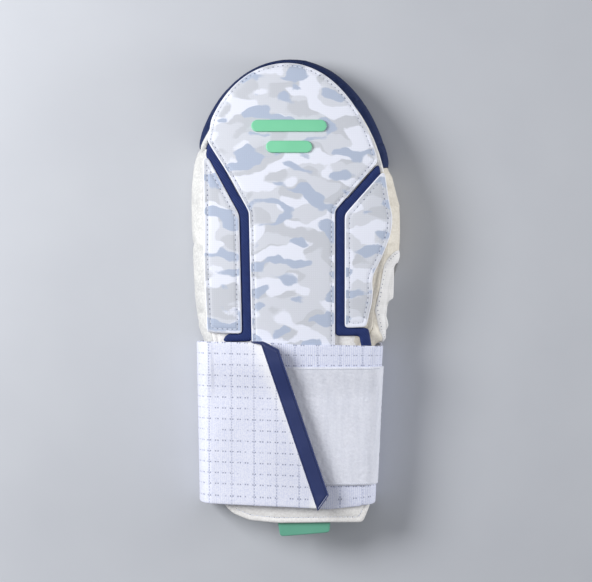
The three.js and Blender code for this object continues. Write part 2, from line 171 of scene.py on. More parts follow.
def navyTwill(name, *tones):
    s = twillWeave
    material, add, place = startMaterial(name, s, flatCloth=True)
    rib = add("TexWave", {
        "Vector": place, "Scale": waveTurn / (s["ribMm"] * mm), "Distortion": s["ribWander"], "Detail": 1.0},
        1, bands_direction="DIAGONAL")
    streak = add("TexNoise", {"Vector": place, "Scale": perMm / s["streakMm"], "Detail": s["streakDetail"]})
    lit = add("Math", {0: rib, 1: streak}, operation="MULTIPLY")
    return finishMaterial(material, add, lit, rib, s, tones)


# Stretch rib knit: soft columns of loops, matt and slightly fuzzy
knitColumns = {
    "tones": ("#e9e8e8", "#f6f5f4"), "columnMm": 1.1, "rowMm": 0.9, "wander": 0.8,
    "reliefMm": 0.15, "relief": 0.4,
    "shader": {"Roughness": 0.9, "IOR": 1.5, "Sheen Weight": 0.25, "Sheen Roughness": 0.5},
}


def whiteRibKnit():
    s = knitColumns
    material, add, place = startMaterial("whiteRibKnit", s)
    column, row = (
        add("TexWave", {"Vector": place, "Scale": waveTurn / (pitch * mm), "Distortion": s["wander"]}, 1,
            bands_direction=way) for pitch, way in ((s["columnMm"], "Y"), (s["rowMm"], "Z")))
    loops = add("Math", {0: column, 1: row}, operation="MULTIPLY")
    return finishMaterial(material, add, loops, loops, s, s["tones"])


# Woven elastic: white cross knit with a sewn grid of fine grey lines and rows of dark needle dots; slack
# elastic draws its ribs together and is painted a little greyer, as shade on the lower layer; a painted
# highlight whitens the flap towards its end by the bar and thins the dots there
elasticWeave = {
    "lineTone": "#a4abc5", "lineMm": 13.7, "lineWidthMm": 0.4, "dashMm": 1.7,
    "fadeMm": 24, "fade": (0.3, 0.65), "faintest": 0.45, "dotTone": "#9096ae", "rowMm": 6.75, "pairMm": 4.57,
    "apartMm": 0.75, "dotWidthMm": 0.55, "skipMm": 4.5, "skip": (0.3, 0.45), "solid": 0.4,
    "paintedLightTone": "#ffffff", "paintedLight": 0.92, "plainMm": 3, "paintedLightMm": 20,
    "knitMm": 0.75, "knitSpeckle": (0.25, 0.75), "ribMm": 1.25, "ribSpeckle": (0.2, 0.8), "ribWander": 0.6,
    "knitSunk": 0.35, "reliefMm": 0.25, "relief": 0.5,
    "shader": {"Roughness": 0.8, "IOR": 1.5, "Sheen Weight": 0.2, "Sheen Roughness": 0.5},
}


def wovenElastic(name, tone, knitTone, ribShare):
    s = elasticWeave
    material, add, cloth = startMaterial(name, s, flatCloth=True)
    run, across = (add("SeparateXYZ", {0: cloth}, axis) for axis in "XY")

    # A mask round every line of some pitch, or round a pair of lines a little to its sides
    def nearEvery(socket, pitchMm, widthMm, asideMm=0.0):
        apart = add("Math", {0: socket, 1: pitchMm * mm / 2}, operation="PINGPONG")
        if asideMm:
            apart = add("Math", {0: apart, 1: asideMm * mm}, operation="SUBTRACT")
            apart = add("Math", {0: apart}, operation="ABSOLUTE")
        wide = widthMm * mm
        return add("MapRange", {
            "Value": apart, "From Min": wide * s["solid"], "From Max": wide, "To Min": 1.0, "To Max": 0.0})

    fade = add("TexNoise", {"Vector": cloth, "Scale": perMm / s["fadeMm"], "Detail": 0.0})
    low, high = s["fade"]
    pulled = add("MapRange", {"Value": fade, "From Min": low, "From Max": high, "To Min": s["faintest"]})
    line = nearEvery(run, s["lineMm"], s["lineWidthMm"])
    for mask in (nearEvery(across, s["dashMm"], s["dashMm"] / 2), pulled):
        line = add("Math", {0: line, 1: mask}, operation="MULTIPLY")

    # Painted highlight: a whiter tone towards the flap's end by the bar, where the dots fade out too
    end = add("UVMap", {}, uv_map="fromEnd")
    fromEnd = add("SeparateXYZ", {0: end})
    paintedLight = add("MapRange", {
        "Value": fromEnd, "From Min": s["plainMm"] * mm, "From Max": s["paintedLightMm"] * mm,
        "To Min": s["paintedLight"], "To Max": 0.0}, interpolation_type="SMOOTHSTEP")
    outsidePaintedLight = add("Math", {0: 1.0, 1: paintedLight}, operation="SUBTRACT")
    skip = add("TexNoise", {"Vector": cloth, "Scale": perMm / s["skipMm"], "Detail": 0.0})
    low, high = s["skip"]
    shown = add("MapRange", {"Value": skip, "From Min": low, "From Max": high})
    dots = nearEvery(across, s["rowMm"], s["dotWidthMm"])
    for mask in (nearEvery(run, s["pairMm"], s["dotWidthMm"], s["apartMm"]), shown, outsidePaintedLight):
        dots = add("Math", {0: dots, 1: mask}, operation="MULTIPLY")

    knit = add("TexVoronoi", {"Vector": cloth, "Scale": perMm / s["knitMm"]})
    rib = add("TexWave", {
        "Vector": cloth, "Scale": waveTurn / (s["ribMm"] * mm), "Distortion": s["ribWander"]},
        1, bands_direction="X")
    mixed = add("Math", {0: rib, 1: ribShare, 2: knit}, operation="MULTIPLY_ADD")
    low, high = (k + ribShare * r for k, r in zip(s["knitSpeckle"], s["ribSpeckle"]))
    speckle = add("MapRange", {"Value": mixed, "From Min": low, "From Max": high})
    colour = hexToLinear(tone)
    layers = ((speckle, knitTone), (paintedLight, s["paintedLightTone"]), (line, s["lineTone"]), (dots, s["dotTone"]))
    for mask, over in layers:
        colour = add("Mix", {0: mask, 6: colour, 7: hexToLinear(over)}, 2, data_type="RGBA")
    sewn = add("Math", {0: line, 1: dots}, operation="ADD")
    sunk = add("Math", {0: knit, 1: s["knitSunk"], 2: sewn}, operation="MULTIPLY_ADD")
    height = add("Math", {0: 1.0, 1: sunk}, operation="SUBTRACT")
    return finishMaterial(material, add, colour, height, s)


# Brushed nylon loop tape: a short, dense pile in faint streaks
loopPile = {
    "tones": ("#d5d8e4", "#e8eaf4"),
    "tuftMm": 1.3,  # drawn coarser than the real half millimetre, so that the pile shows
    "tuftDetail": 4.0, "tuftRough": 0.65, "streakMm": 3, "streakLong": 9, "streakDetail": 2.0,
    "contrast": (0.65, 1.35), "reliefMm": 0.5, "relief": 0.6,
    "shader": {"Roughness": 0.95, "IOR": 1.5, "Sheen Weight": 0.35, "Sheen Roughness": 0.6},
}


def brushedLoop():
    s = loopPile
    material, add, place = startMaterial("brushedLoop", s)
    tuft = add("TexNoise", {
        "Vector": place, "Scale": perMm / s["tuftMm"], "Detail": s["tuftDetail"],
        "Roughness": s["tuftRough"]})
    brushed = add("Mapping", {"Vector": place, "Scale": (1, 1 / s["streakLong"], 1)})
    streak = add("TexNoise", {"Vector": brushed, "Scale": perMm / s["streakMm"], "Detail": s["streakDetail"]})
    both = add("Math", {0: tuft, 1: streak}, operation="ADD")
    low, high = s["contrast"]
    mask = add("MapRange", {"Value": both, "From Min": low, "From Max": high})
    return finishMaterial(material, add, mask, tuft, s, s["tones"])


# Injection moulded soft rubber: one even colour, spark-eroded matt skin, polished a little where it is rubbed
rubberSkin = {
    "sparkMm": 0.9, "sparkDetail": 3.0, "cloudMm": 14, "cloudDetail": 2.0, "matt": 0.42, "rubbed": 0.3,
    "reliefMm": 0.08, "relief": 0.5, "shader": {"IOR": 1.5, "Coat Weight": 0.08, "Coat Roughness": 0.3},
}


def mouldedRubber(name, *tones):
    s = rubberSkin
    material, add, place = startMaterial(name, s)
    spark = add("TexNoise", {"Vector": place, "Scale": perMm / s["sparkMm"], "Detail": s["sparkDetail"]})
    cloud = add("TexNoise", {"Vector": place, "Scale": perMm / s["cloudMm"], "Detail": s["cloudDetail"]})
    rough = add("MapRange", {"Value": cloud, "To Min": s["matt"], "To Max": s["rubbed"]})
    return finishMaterial(material, add, cloud, spark, s, tones, rough)


# Spun polyester sewing thread: two plies that show as a fine twist, slightly glossy
threadTwist = {
    "twistMm": 0.5, "reliefMm": 0.1, "relief": 0.4,
    "shader": {"Roughness": 0.6, "IOR": 1.5, "Sheen Weight": 0.1},
}


def sewingThread(name, *tones):
    s = threadTwist
    material, add, place = startMaterial(name, s)
    twist = add("TexWave", {
        "Vector": place, "Scale": waveTurn / (s["twistMm"] * mm)}, 1, bands_direction="DIAGONAL")
    return finishMaterial(material, add, twist, twist, s, tones)


# Die-cut foam with a white cloth backing: the bright raw edge of the guard plates, carried onto their rounded
# top edge as a painted highlight
cutFoamAndHighlight = {
    "tones": ("#f4f5fb", "#e0e3ee"), "mottleMm": 0.8, "mottleDetail": 3.0, "reliefMm": 0.1, "relief": 0.4,
    "shader": {"Roughness": 0.8, "IOR": 1.5},
}

# Painted board under the mitt: pale grey, barely mottled, matt
boardPaint = {
    "tones": ("#c2c5cb", "#babdc4"), "mottleMm": 60, "mottleDetail": 3.0, "reliefMm": 0.1, "relief": 0.1,
    "shader": {"Roughness": 0.8, "IOR": 1.45},
}


def mottledSurface(name, s):
    material, add, place = startMaterial(name, s)
    mottle = add("TexNoise", {"Vector": place, "Scale": perMm / s["mottleMm"], "Detail": s["mottleDetail"]})
    return finishMaterial(material, add, mottle, mottle, s, s["tones"])


camoCloth = printedCamoCloth()
whiteLeather = syntheticLeather("whiteLeather", "#dededb", "#c9c9c8")
creamLeather = syntheticLeather("creamLeather", "#e8e2d6", "#dad3c5")
backLeather = syntheticLeather("backLeather", "#f5f4f2", "#e6e4e2")
channelTwill = navyTwill("channelTwill", "#1c2856", "#364a87")
# The toe cap's twill is a darker copy of the channel twill: painted shade on the toe, which the fill light
# reaches
shadedToeTwill = navyTwill("shadedToeTwill", "#111c41", "#324675")
ribKnit = whiteRibKnit()
pulledElastic = wovenElastic("pulledElastic", "#ebedf9", "#d8dcf0", 0.25)
# The lower layer's copy is greyer: partly its stronger ribs, partly painted shade
shadedSlackElastic = wovenElastic("shadedSlackElastic", "#e6e9f7", "#ccd1e8", 0.7)
loopTape = brushedLoop()
navyRubber = mouldedRubber("navyRubber", "#2c396b", "#25315f")
greenRubber = mouldedRubber("greenRubber", "#80d2a8", "#74c79d")
tabRubber = mouldedRubber("tabRubber", "#68ad94", "#5da188")
whiteThread = sewingThread("whiteThread", "#bfc4d2", "#dfe2eb")
# Dark beads at the needle holes: painted shade standing for the holes' dark hollows
holeShade = sewingThread("needleHoleShade", "#666c80", "#858b9e")
foamEdgeAndHighlight = mottledSurface("cutFoamEdgeAndHighlight", cutFoamAndHighlight)
print("materials made:", len(bpy.data.materials))


# Shape of the body: plan outline and height of the back by y, as the solids have them

body = {
    "rows": [  # y, little finger side, thumb side, height of the back
        (-138.5, -44, 45, 33),
        (-119.5, -48, 46, 33.5),
        (-81.5, -54, 48, 35),
        (-31.5, -58.2, 50, 37.4),
        (-22.5, -60.2, 54.6, 37.8),
        (-10.5, -61.6, 55.8, 38),
        (1.5, -62.8, 58.6, 38.2),
        (16.5, -63.8, 61.4, 38.4),
        (28.5, -64.4, 64, 38.4),
        (56, -65, 64.4, 38),
    ],
    "toe": {"x": -0.3, "y": 56, "halfWidth": 64.7, "reach": 91.6, "lean": -3.4, "fall": 14,
            "tuckDegs": (0, 4, 9, 25, 46, 66, 90), "tuck": (0, 1.5, 2.5, 3.0, 2.2, 0.4, 0)},
    "crown": {"drop": 6, "halfWidth": 65},
    "wristLift": 2.6, "ramp": (-26.5, -8.5), "gap": 0.3,
    "lineYs": (-160, 54), "lineSteps": 90, "toeSteps": 120,
}
leftSide, rightSide, backRidge = 1, 2, 3
tableRows = np.array(body["rows"], float)
wall = {"thick": 3, "lowRun": 6, "lowRise": 8, "highRun": 8, "highRise": 12, "lowSteps": 9, "midSteps": 12,
        "highSteps": 14}


def smoothstep(value, low, high):
    t = np.clip((value - low) / (high - low), 0, 1)
    return t * t * (3 - 2 * t)


def unit(vectors):
    return vectors / np.linalg.norm(vectors, axis=-1, keepdims=True)


def tableAt(column, y):
    ys, values = tableRows[:, 0], tableRows[:, column]
    order = np.arange(len(ys))
    before = np.maximum(order - 1, 0)
    after = np.minimum(order + 1, len(ys) - 1)
    slope = (values[after] - values[before]) / (ys[after] - ys[before])
    i = np.clip(np.searchsorted(ys, y) - 1, 0, len(ys) - 2)
    span = ys[i + 1] - ys[i]
    t = np.clip((y - ys[i]) / span, 0, 1)
    bend = t * (1 - t) ** 2 * span * slope[i] + t * t * (t - 1) * span * slope[i + 1]
    return values[i] + (values[i + 1] - values[i]) * smoothstep(t, 0, 1) + bend


def backHeight(x, y):
    toe, crown = body["toe"], body["crown"]
    pastKnuckles = np.maximum(0, (y - toe["y"]) / toe["reach"])
    ridge = tableAt(backRidge, np.minimum(y, toe["y"])) - toe["fall"] * pastKnuckles ** 2
    return ridge - crown["drop"] * (x / crown["halfWidth"]) ** 2


def palmHeight(y):
    return body["wristLift"] * (1 - smoothstep(y, *body["ramp"]))


def sideEdge(column):
    return lambda y: np.stack([tableAt(column, y), y], -1)


def toeEdge(angle):
    toe, turn = body["toe"], np.radians(angle)
    x = toe["x"] + toe["halfWidth"] * np.cos(turn) + toe["lean"] * np.sin(turn)
    x = x - np.interp(angle, toe["tuckDegs"], toe["tuck"])
    return np.stack([x, toe["y"] + toe["reach"] * np.sin(turn)], -1)


# Places along an edge, each with the way inward from it
def stationsOn(edge, at, step):
    along = unit(edge(at + step) - edge(at - step))
    return np.concatenate([edge(at), np.stack([along[:, 1], -along[:, 0]], -1)], 1)


def distanceTo(points, line, closed=True, batch=1500):
    ends = np.roll(line, -1, 0) if closed else line[1:]
    starts = line if closed else line[:-1]
    step = ends - starts
    length2 = np.maximum((step ** 2).sum(1), 1e-12)
    best = []
    for part in np.array_split(points, max(1, len(points) // batch)):
        away = part[:, None] - starts
        t = np.clip((away * step).sum(-1) / length2, 0, 1)
        best.append(np.linalg.norm(away - t[..., None] * step, axis=-1).min(1))
    return np.concatenate(best)


lineYs = np.linspace(*body["lineYs"], body["lineSteps"])
bodyLine = np.concatenate([
    sideEdge(leftSide)(lineYs),
    toeEdge(np.linspace(180, 0, body["toeSteps"])),
    sideEdge(rightSide)(lineYs[::-1]),
])


def skinHeight(x, y):
    inset = np.clip(distanceTo(np.stack([x, y], -1), bodyLine, closed=False), 0, wall["highRun"])
    turn = 1 - inset / wall["highRun"]
    return backHeight(x, y) - wall["highRise"] * (1 - np.sqrt(1 - turn ** 2))


# Mesh helpers

sharpDeg = 40
ringSlack = 0.04  # how much nearer to an outline a point on a ring inside it may lie
rowShare = 0.866  # rows of a grid of even triangles, by their sides
sideUp, topUp = 0.1, 0.5  # how far up the side and the top of a plate face


def addPiece(name, points, faces, materials, node=None, slotName=None, faceMaterial=None):
    mesh = bpy.data.meshes.new(name)
    mesh.from_pydata((np.asarray(points, float) * mm).tolist(), [], faces)
    for material in materials:
        mesh.materials.append(material)
    if faceMaterial is not None:
        mesh.polygons.foreach_set("material_index", np.asarray(faceMaterial, np.int32))
    bm = bmesh.new()
    bm.from_mesh(mesh)
    bmesh.ops.recalc_face_normals(bm, faces=bm.faces)
    bm.to_mesh(mesh)
    bm.free()
    mesh.polygons.foreach_set("use_smooth", np.ones(len(mesh.polygons), bool))
    mesh.set_sharp_from_angle(angle=math.radians(sharpDeg))
    piece = bpy.data.objects.new(name, mesh)
    bpy.context.scene.collection.objects.link(piece)
    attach(piece, "root")
    if node:
        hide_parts(node)
    return piece


# Where each point of a piece lies on its flat cloth, for the weave
def setWeave(piece, coordinates, name="weave"):
    layer = piece.data.uv_layers.new(name=name)
    corner = np.empty(len(piece.data.loops), np.int32)
    piece.data.loops.foreach_get("vertex_index", corner)
    layer.uv.foreach_set("vector", (coordinates[corner] * mm).astype(np.float32).ravel())


def gridFaces(rows, columns, start=0, flip=False, wrap=False):
    i, j = np.meshgrid(np.arange(rows - 1), np.arange(columns if wrap else columns - 1), indexing="ij")
    a = start + i * columns + j
    b = start + i * columns + (j + 1) % columns
    quads = np.stack([a, b, b + columns, a + columns], -1).reshape(-1, 4)
    return (quads[:, ::-1] if flip else quads).tolist()


# A tube of rings, closed at both ends
def tubeFaces(rings, sides):
    last = (rings - 1) * sides
    return gridFaces(rings, sides, wrap=True) + [list(range(sides))[::-1], list(range(last, last + sides))]


def closedBetween(inner, outer):
    rows, columns = inner.shape[:2]
    count = rows * columns
    points = np.concatenate([inner.reshape(-1, 3), outer.reshape(-1, 3)])
    faces = gridFaces(rows, columns) + gridFaces(rows, columns, count, flip=True)
    rim = [i * columns for i in range(rows)]
    rim += [(rows - 1) * columns + j for j in range(1, columns)]
    rim += [i * columns + columns - 1 for i in range(rows - 2, -1, -1)]
    rim += list(range(columns - 2, 0, -1))
    faces += [[a, b, b + count, a + count] for a, b in zip(rim, rim[1:] + rim[:1])]
    return points, faces


# The outline of a CAD plate seen from above, anticlockwise
def planOutline(nodeName):
    bm = bmesh.new()
    bm.from_mesh(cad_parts[nodeName].data)
    bmesh.ops.remove_doubles(bm, verts=bm.verts, dist=1e-6)
    bm.normal_update()
    links = {}
    for edge in bm.edges:
        ups = sorted(face.normal.z for face in edge.link_faces)
        if len(ups) == 2 and abs(ups[0]) < sideUp and ups[1] > topUp:
            for near in edge.verts:
                links.setdefault(near, []).append(edge.other_vert(near))
    loop = [next(iter(links))]
    last = None
    while True:
        step = next(v for v in links[loop[-1]] if v is not last)
        if step is loop[0]:
            break
        last = loop[-1]
        loop.append(step)
    points = np.array([v.co.xy for v in loop]) / mm
    bm.free()
    x, y = points.T
    area = (x * np.roll(y, -1) - np.roll(x, -1) * y).sum()
    return points if area > 0 else points[::-1]


# Distance along a line to each of its points
def runAlong(points):
    return np.concatenate([[0], np.cumsum(np.linalg.norm(np.diff(points, axis=0), axis=1))])


# An outline at even steps, and how long they are
def evenSteps(points, step):
    closed = np.concatenate([points, points[:1]])
    run = runAlong(closed)
    count = int(round(run[-1] / step))
    at = np.arange(count) * run[-1] / count
    return np.stack([np.interp(at, run, closed[:, k]) for k in (0, 1)], -1), run[-1] / count


# An outline at even steps, with its corners rounded
def softLoop(points, step, soften):
    even, apart = evenSteps(points, step)
    blur = np.exp(-2 * (math.pi * np.fft.fftfreq(len(even), apart) * soften) ** 2)
    line = np.fft.ifft(np.fft.fft(even[:, 0] + 1j * even[:, 1]) * blur)
    return np.stack([line.real, line.imag], -1)


def inwardOf(loop):
    along = unit(np.roll(loop, -1, 0) - np.roll(loop, 1, 0))
    return np.stack([-along[:, 1], along[:, 0]], -1)


def ringInside(loop, depth):
    ring = loop + inwardOf(loop) * depth
    return ring[distanceTo(ring, loop) > depth - ringSlack]


def insideOf(points, loop):
    x, y = points[:, :1], points[:, 1:]
    ax, ay = loop.T
    bx, by = np.roll(loop, -1, 0).T
    crossing = (ay > y) != (by > y)
    at = ax + (y - ay) / np.where(by == ay, 1e-9, by - ay) * (bx - ax)
    return (crossing & (x < at)).sum(1) % 2 == 1


# Triangles over an outline, with rings of points at some depths inside it and a grid in the middle
def plateCells(loop, depths, gridStep, clearShare=0.6):
    rings = [loop] + [ringInside(loop, d) for d in depths]
    ringDepths = [np.full(len(ring), float(d)) for ring, d in zip(rings, [0, *depths])]
    low, high = loop.min(0), loop.max(0)
    x, y = np.meshgrid(np.arange(low[0], high[0], gridStep), np.arange(low[1], high[1], gridStep * rowShare))
    x[1::2] += gridStep / 2
    grid = np.stack([x.ravel(), y.ravel()], -1)
    grid = grid[insideOf(grid, loop)]
    away = distanceTo(grid, loop)
    clear = away > (depths[-1] if len(depths) else 0) + clearShare * gridStep
    points = np.concatenate([*rings, grid[clear]])
    depth = np.concatenate([*ringDepths, away[clear]])
    edges = [(i, (i + 1) % len(loop)) for i in range(len(loop))]
    _, _, faces, origin, _, _ = geometry.delaunay_2d_cdt([Vector(p) for p in points], edges, [], 1, 1e-6)
    first = [sources[0] for sources in origin]
    return points, depth, [[first[i] for i in face] for face in faces]


# A plate with a rounded, sewn edge: seat gives its underside, top the height over that by depth from the
# edge; a second material covers its edge and its underside
def plate(name, loop, seat, top, depths, materials, gridStep=3.0, edgeDepth=0.0, **more):
    points, depth, faces = plateCells(loop, depths, gridStep)
    underPoints, _, underFaces = plateCells(loop, [], gridStep)
    x, y = points.T
    upper = np.column_stack([points, seat(x, y) + top(x, y, depth)])
    under = np.column_stack([underPoints, seat(*underPoints.T)])
    count, n = len(upper), len(loop)
    halfway = under[:n] + (upper[:n] - under[:n]) / 2
    rings = [np.arange(n) + count, np.arange(n) + count + len(under), np.arange(n)]
    side = []
    for low, high in zip(rings, rings[1:]):
        side += np.stack([low, np.roll(low, -1), np.roll(high, -1), high], -1).tolist()
    allFaces = faces + [[i + count for i in face] for face in underFaces] + side
    isEdge = [int(depth[face].max() <= edgeDepth) for face in faces] + [1] * (len(underFaces) + len(side))
    return addPiece(name, np.concatenate([upper, under, halfway]), allFaces, materials,
                    faceMaterial=isEdge if len(materials) > 1 else None, **more)


def roundedTop(thick, radius, groove=0.0, seam=0.0, seamWide=0.8, puff=0.0, puffMm=5):
    def top(x, y, depth):
        inside = np.clip(depth, 0, radius)
        edge = thick - radius + np.sqrt(radius ** 2 - (radius - inside) ** 2)
        sewn = groove * np.exp(-((depth - seam) / seamWide) ** 2)
        return edge - sewn + puff * (1 - np.exp(-np.maximum(depth - seam, 0) / puffMm))
    return top


# Stitching: thread, and dark beads of painted shade at the needle holes, along rows of places on a surface

stitching = {
    "pitch": 3.0, "thread": (2.1, 0.55, 0.45), "hole": (0.9, 0.85, 0.16),  # long, wide, high
    "holeSpread": (0.6, 1.25), "smallHoles": 0.65, "seed": 4, "fromY": -30,
    "ringsAt": (-0.5, -0.42, -0.22, 0.22, 0.42, 0.5), "girth": (0.2, 0.7, 1.0, 1.0, 0.7, 0.2), "sides": 6,
}
needle = np.random.default_rng(stitching["seed"])
threadRows, holeRows = [], []


# Small closed forms, one at each place
def beads(places, along, size, scales):
    length, width, height = size
    girth, sides = np.array(stitching["girth"])[:, None], stitching["sides"]
    turns = np.arange(sides) * fullTurn / sides
    up = unit(np.array([0, 0, 1.0]) - along * along[:, 2:])
    rings = along[:, None, None] * (np.array(stitching["ringsAt"]) * length)[:, None, None]
    rings = rings + np.cross(along, up)[:, None, None] * (girth * np.cos(turns) * width / 2)[..., None]
    rings = rings + up[:, None, None] * (girth * np.sin(turns) * height / 2)[..., None]
    rings = places[:, None, None] + rings * scales[:, None, None, None]
    faces = tubeFaces(len(girth), sides)
    every = [[i + len(girth) * sides * n for i in face] for n in range(len(places)) for face in faces]
    return rings.reshape(-1, 3), every


def sewRow(places, thread=True, holes=True, holeScale=1.0):
    between = (places[:-1] + places[1:]) / 2
    uneven = needle.uniform(*stitching["holeSpread"], len(places)) * holeScale
    if thread:
        even = np.ones(len(between))
        threadRows.append(beads(between, unit(np.diff(places, axis=0)), stitching["thread"], even))
    if holes:
        holeRows.append(beads(places, unit(np.gradient(places, axis=0)), stitching["hole"], uneven))


def joined(parts):
    points, faces, start = [], [], 0
    for some, theirs in parts:
        points.append(some)
        faces += [[i + start for i in face] for face in theirs]
        start += len(some)
    return np.concatenate(points), faces


# Side walls: padded leather and twill between the palm seam and the back seam

wallColumns = wall["lowSteps"] + wall["midSteps"] + wall["highSteps"] + 1
wallAcross = np.linspace(0, 1, wallColumns)
padding = {
    "fullness": 0.6, "seamPull": 0.8, "backPull": 0.4, "endPull": 0.5, "endMm": 2.5,
    "swell": 0.25, "swellMm": 26, "swellAcross": 1.6, "pucker": 0.3, "puckerMm": 8, "puckerAcross": 1.1,
    "puckerSeed": 7, "puckerReach": 1.2, "outerSlack": 1.7, "toeSlack": 0.9, "thumbSlack": 1.5,
    "bulge": 3.6, "bulgeY": -26.6, "bulgeMm": 2.7,
}


def wallGrid(stations, offset):
    edge, inward = stations[:, None, :2], stations[:, None, 2:]
    low = np.linspace(0, halfPi, wall["lowSteps"] + 1)
    high = np.linspace(halfPi, 0, wall["highSteps"] + 1)
    middle = np.linspace(0, 1, wall["midSteps"] + 1)[1:-1]
    turn = np.concatenate([low, np.full(len(middle), halfPi), high])
    share = np.concatenate([np.zeros(len(low)), middle, np.ones(len(high))])
    run = np.where(share > 0.5, wall["highRun"], wall["lowRun"])
    offset = np.broadcast_to(offset, (len(stations), len(turn)))
    inset = run * (1 - np.sin(turn)) - offset * np.sin(turn)
    plan = edge + inward * inset[..., None]
    x, y = plan[..., 0], plan[..., 1]
    fromPalm = palmHeight(y) + wall["lowRise"] * (1 - np.cos(turn)) - offset * np.cos(turn)
    fromBack = backHeight(x, y) - wall["highRise"] * (1 - np.cos(turn)) + offset * np.cos(turn)
    return np.dstack([x, y, fromPalm * (1 - share) + fromBack * share])


filling = {"mmPerUnit": 100, "frames": 24, "pressure": 0.6, "ease": 0.02, "stiff": 15, "shear": 5, "cap": 1.4,
           "heldBelowY": -24, "quality": 6, "mass": 0.3, "bend": 0.3}


# Cloth held along its seams and under the strap, cut a little large and pressed out by the foam behind it
def filledOut(name, grid):
    s = filling
    mesh = bpy.data.meshes.new(name)
    mesh.from_pydata((grid.reshape(-1, 3) / s["mmPerUnit"]).tolist(), [], gridFaces(*grid.shape[:2]))
    cover = bpy.data.objects.new(name, mesh)
    bpy.context.scene.collection.objects.link(cover)
    held = grid[..., 1] < s["heldBelowY"]
    held[[0, -1]] = True
    held[:, [0, -1]] = True
    cover.vertex_groups.new(name="held").add(np.flatnonzero(held).tolist(), 1.0, "REPLACE")
    cloth = cover.modifiers.new("filling", "CLOTH").settings
    for setting, value in (
            ("quality", s["quality"]), ("mass", s["mass"]), ("vertex_group_mass", "held"),
            ("use_pressure", True), ("uniform_pressure_force", s["pressure"]), ("shrink_min", -s["ease"]),
            ("tension_stiffness", s["stiff"]), ("compression_stiffness", s["stiff"]),
            ("shear_stiffness", s["shear"]), ("bending_stiffness", s["bend"])):
        setattr(cloth, setting, value)
    cloth.effector_weights.gravity = 0
    for step in range(1, s["frames"] + 1):
        bpy.context.scene.frame_set(step)
    seen = cover.evaluated_get(bpy.context.evaluated_depsgraph_get())
    moved = np.array([v.co for v in seen.data.vertices]).reshape(grid.shape) * s["mmPerUnit"] - grid
    bpy.data.objects.remove(cover)
    bpy.context.scene.frame_set(1)
    far = np.linalg.norm(moved, axis=-1, keepdims=True)
    print(name, "filled out by", round(float(far.mean()), 2), "mm, at most", round(float(far.max()), 2))
    return grid + moved * np.minimum(1, s["cap"] / np.maximum(far, 1e-9))


# Leather pulled in at its seams and loosely filled between them
def paddedOffset(stations, seed, slack):
    s = padding
    run = runAlong(stations[:, :2])
    full = np.sin(math.pi * wallAcross) ** s["fullness"]
    offset = np.empty((len(run), wallColumns))
    for i, r in enumerate(run):
        for j, a in enumerate(wallAcross):
            swell = noise.noise(Vector((r / s["swellMm"], a * s["swellAcross"], seed)))
            pucker = noise.noise(Vector((r / s["puckerMm"], a * s["puckerAcross"], seed + s["puckerSeed"])))
            offset[i, j] = s["swell"] * swell * full[j] + s["pucker"] * pucker * (s["puckerReach"] - full[j])
    fromEnd = np.minimum(run, run[-1] - run)
    ends = s["endPull"] * np.exp(-(fromEnd / s["endMm"]) ** 2)
    pull = np.where(wallAcross > 0.5, s["backPull"], s["seamPull"])
    return offset - pull * (1 - full) - slack * full - ends[:, None]


def wallPiece(name, stations, offset, material, **more):
    inner = wallGrid(stations, -wall["thick"])
    outer = filledOut(name, wallGrid(stations, offset))
    return addPiece(name, *closedBetween(inner, outer), [material], **more), inner, outer


seamGapDeg = math.degrees(body["gap"] / body["toe"]["reach"])
walls = {"fromY": -119.5, "toY": 55, "sideSteps": 120, "leftDeg": 157, "leftSteps": 24, "rightDeg": 15,
         "rightSteps": 16, "capSteps": 170, "capWide": 45}
sideYs = np.linspace(walls["fromY"], walls["toY"], walls["sideSteps"])
leftTurn = np.linspace(180, walls["leftDeg"] + seamGapDeg, walls["leftSteps"])
capTurn = np.linspace(walls["leftDeg"], walls["rightDeg"], walls["capSteps"])
rightTurn = np.linspace(walls["rightDeg"] - seamGapDeg, 0, walls["rightSteps"])
ahead = 0.5  # how far on, and how far back, the way of an edge is measured
leftStations = np.concatenate([
    stationsOn(sideEdge(leftSide), sideYs, ahead), stationsOn(toeEdge, leftTurn, -ahead)])
capStations = stationsOn(toeEdge, capTurn, -ahead)
thumbStations = np.concatenate([
    stationsOn(toeEdge, rightTurn, -ahead), stationsOn(sideEdge(rightSide), sideYs[::-1], -ahead)])

outerOffset = paddedOffset(leftStations, 2.0, padding["outerSlack"])
outerGusset, _, _ = wallPiece("outerGusset", leftStations, outerOffset, whiteLeather, node="gusset_outer",
                              slotName="white_leather")
capOffset = paddedOffset(capStations, 5.0, padding["toeSlack"])
toeCap, _, _ = wallPiece("toeCap", capStations, capOffset, shadedToeTwill, node="toe_cap", slotName="navy_cloth")
capRun, capAcross = np.meshgrid(runAlong(capStations[:, :2]), wallAcross * walls["capWide"], indexing="ij")
setWeave(toeCap, np.tile(np.stack([capRun.ravel(), capAcross.ravel()], -1), (2, 1)))

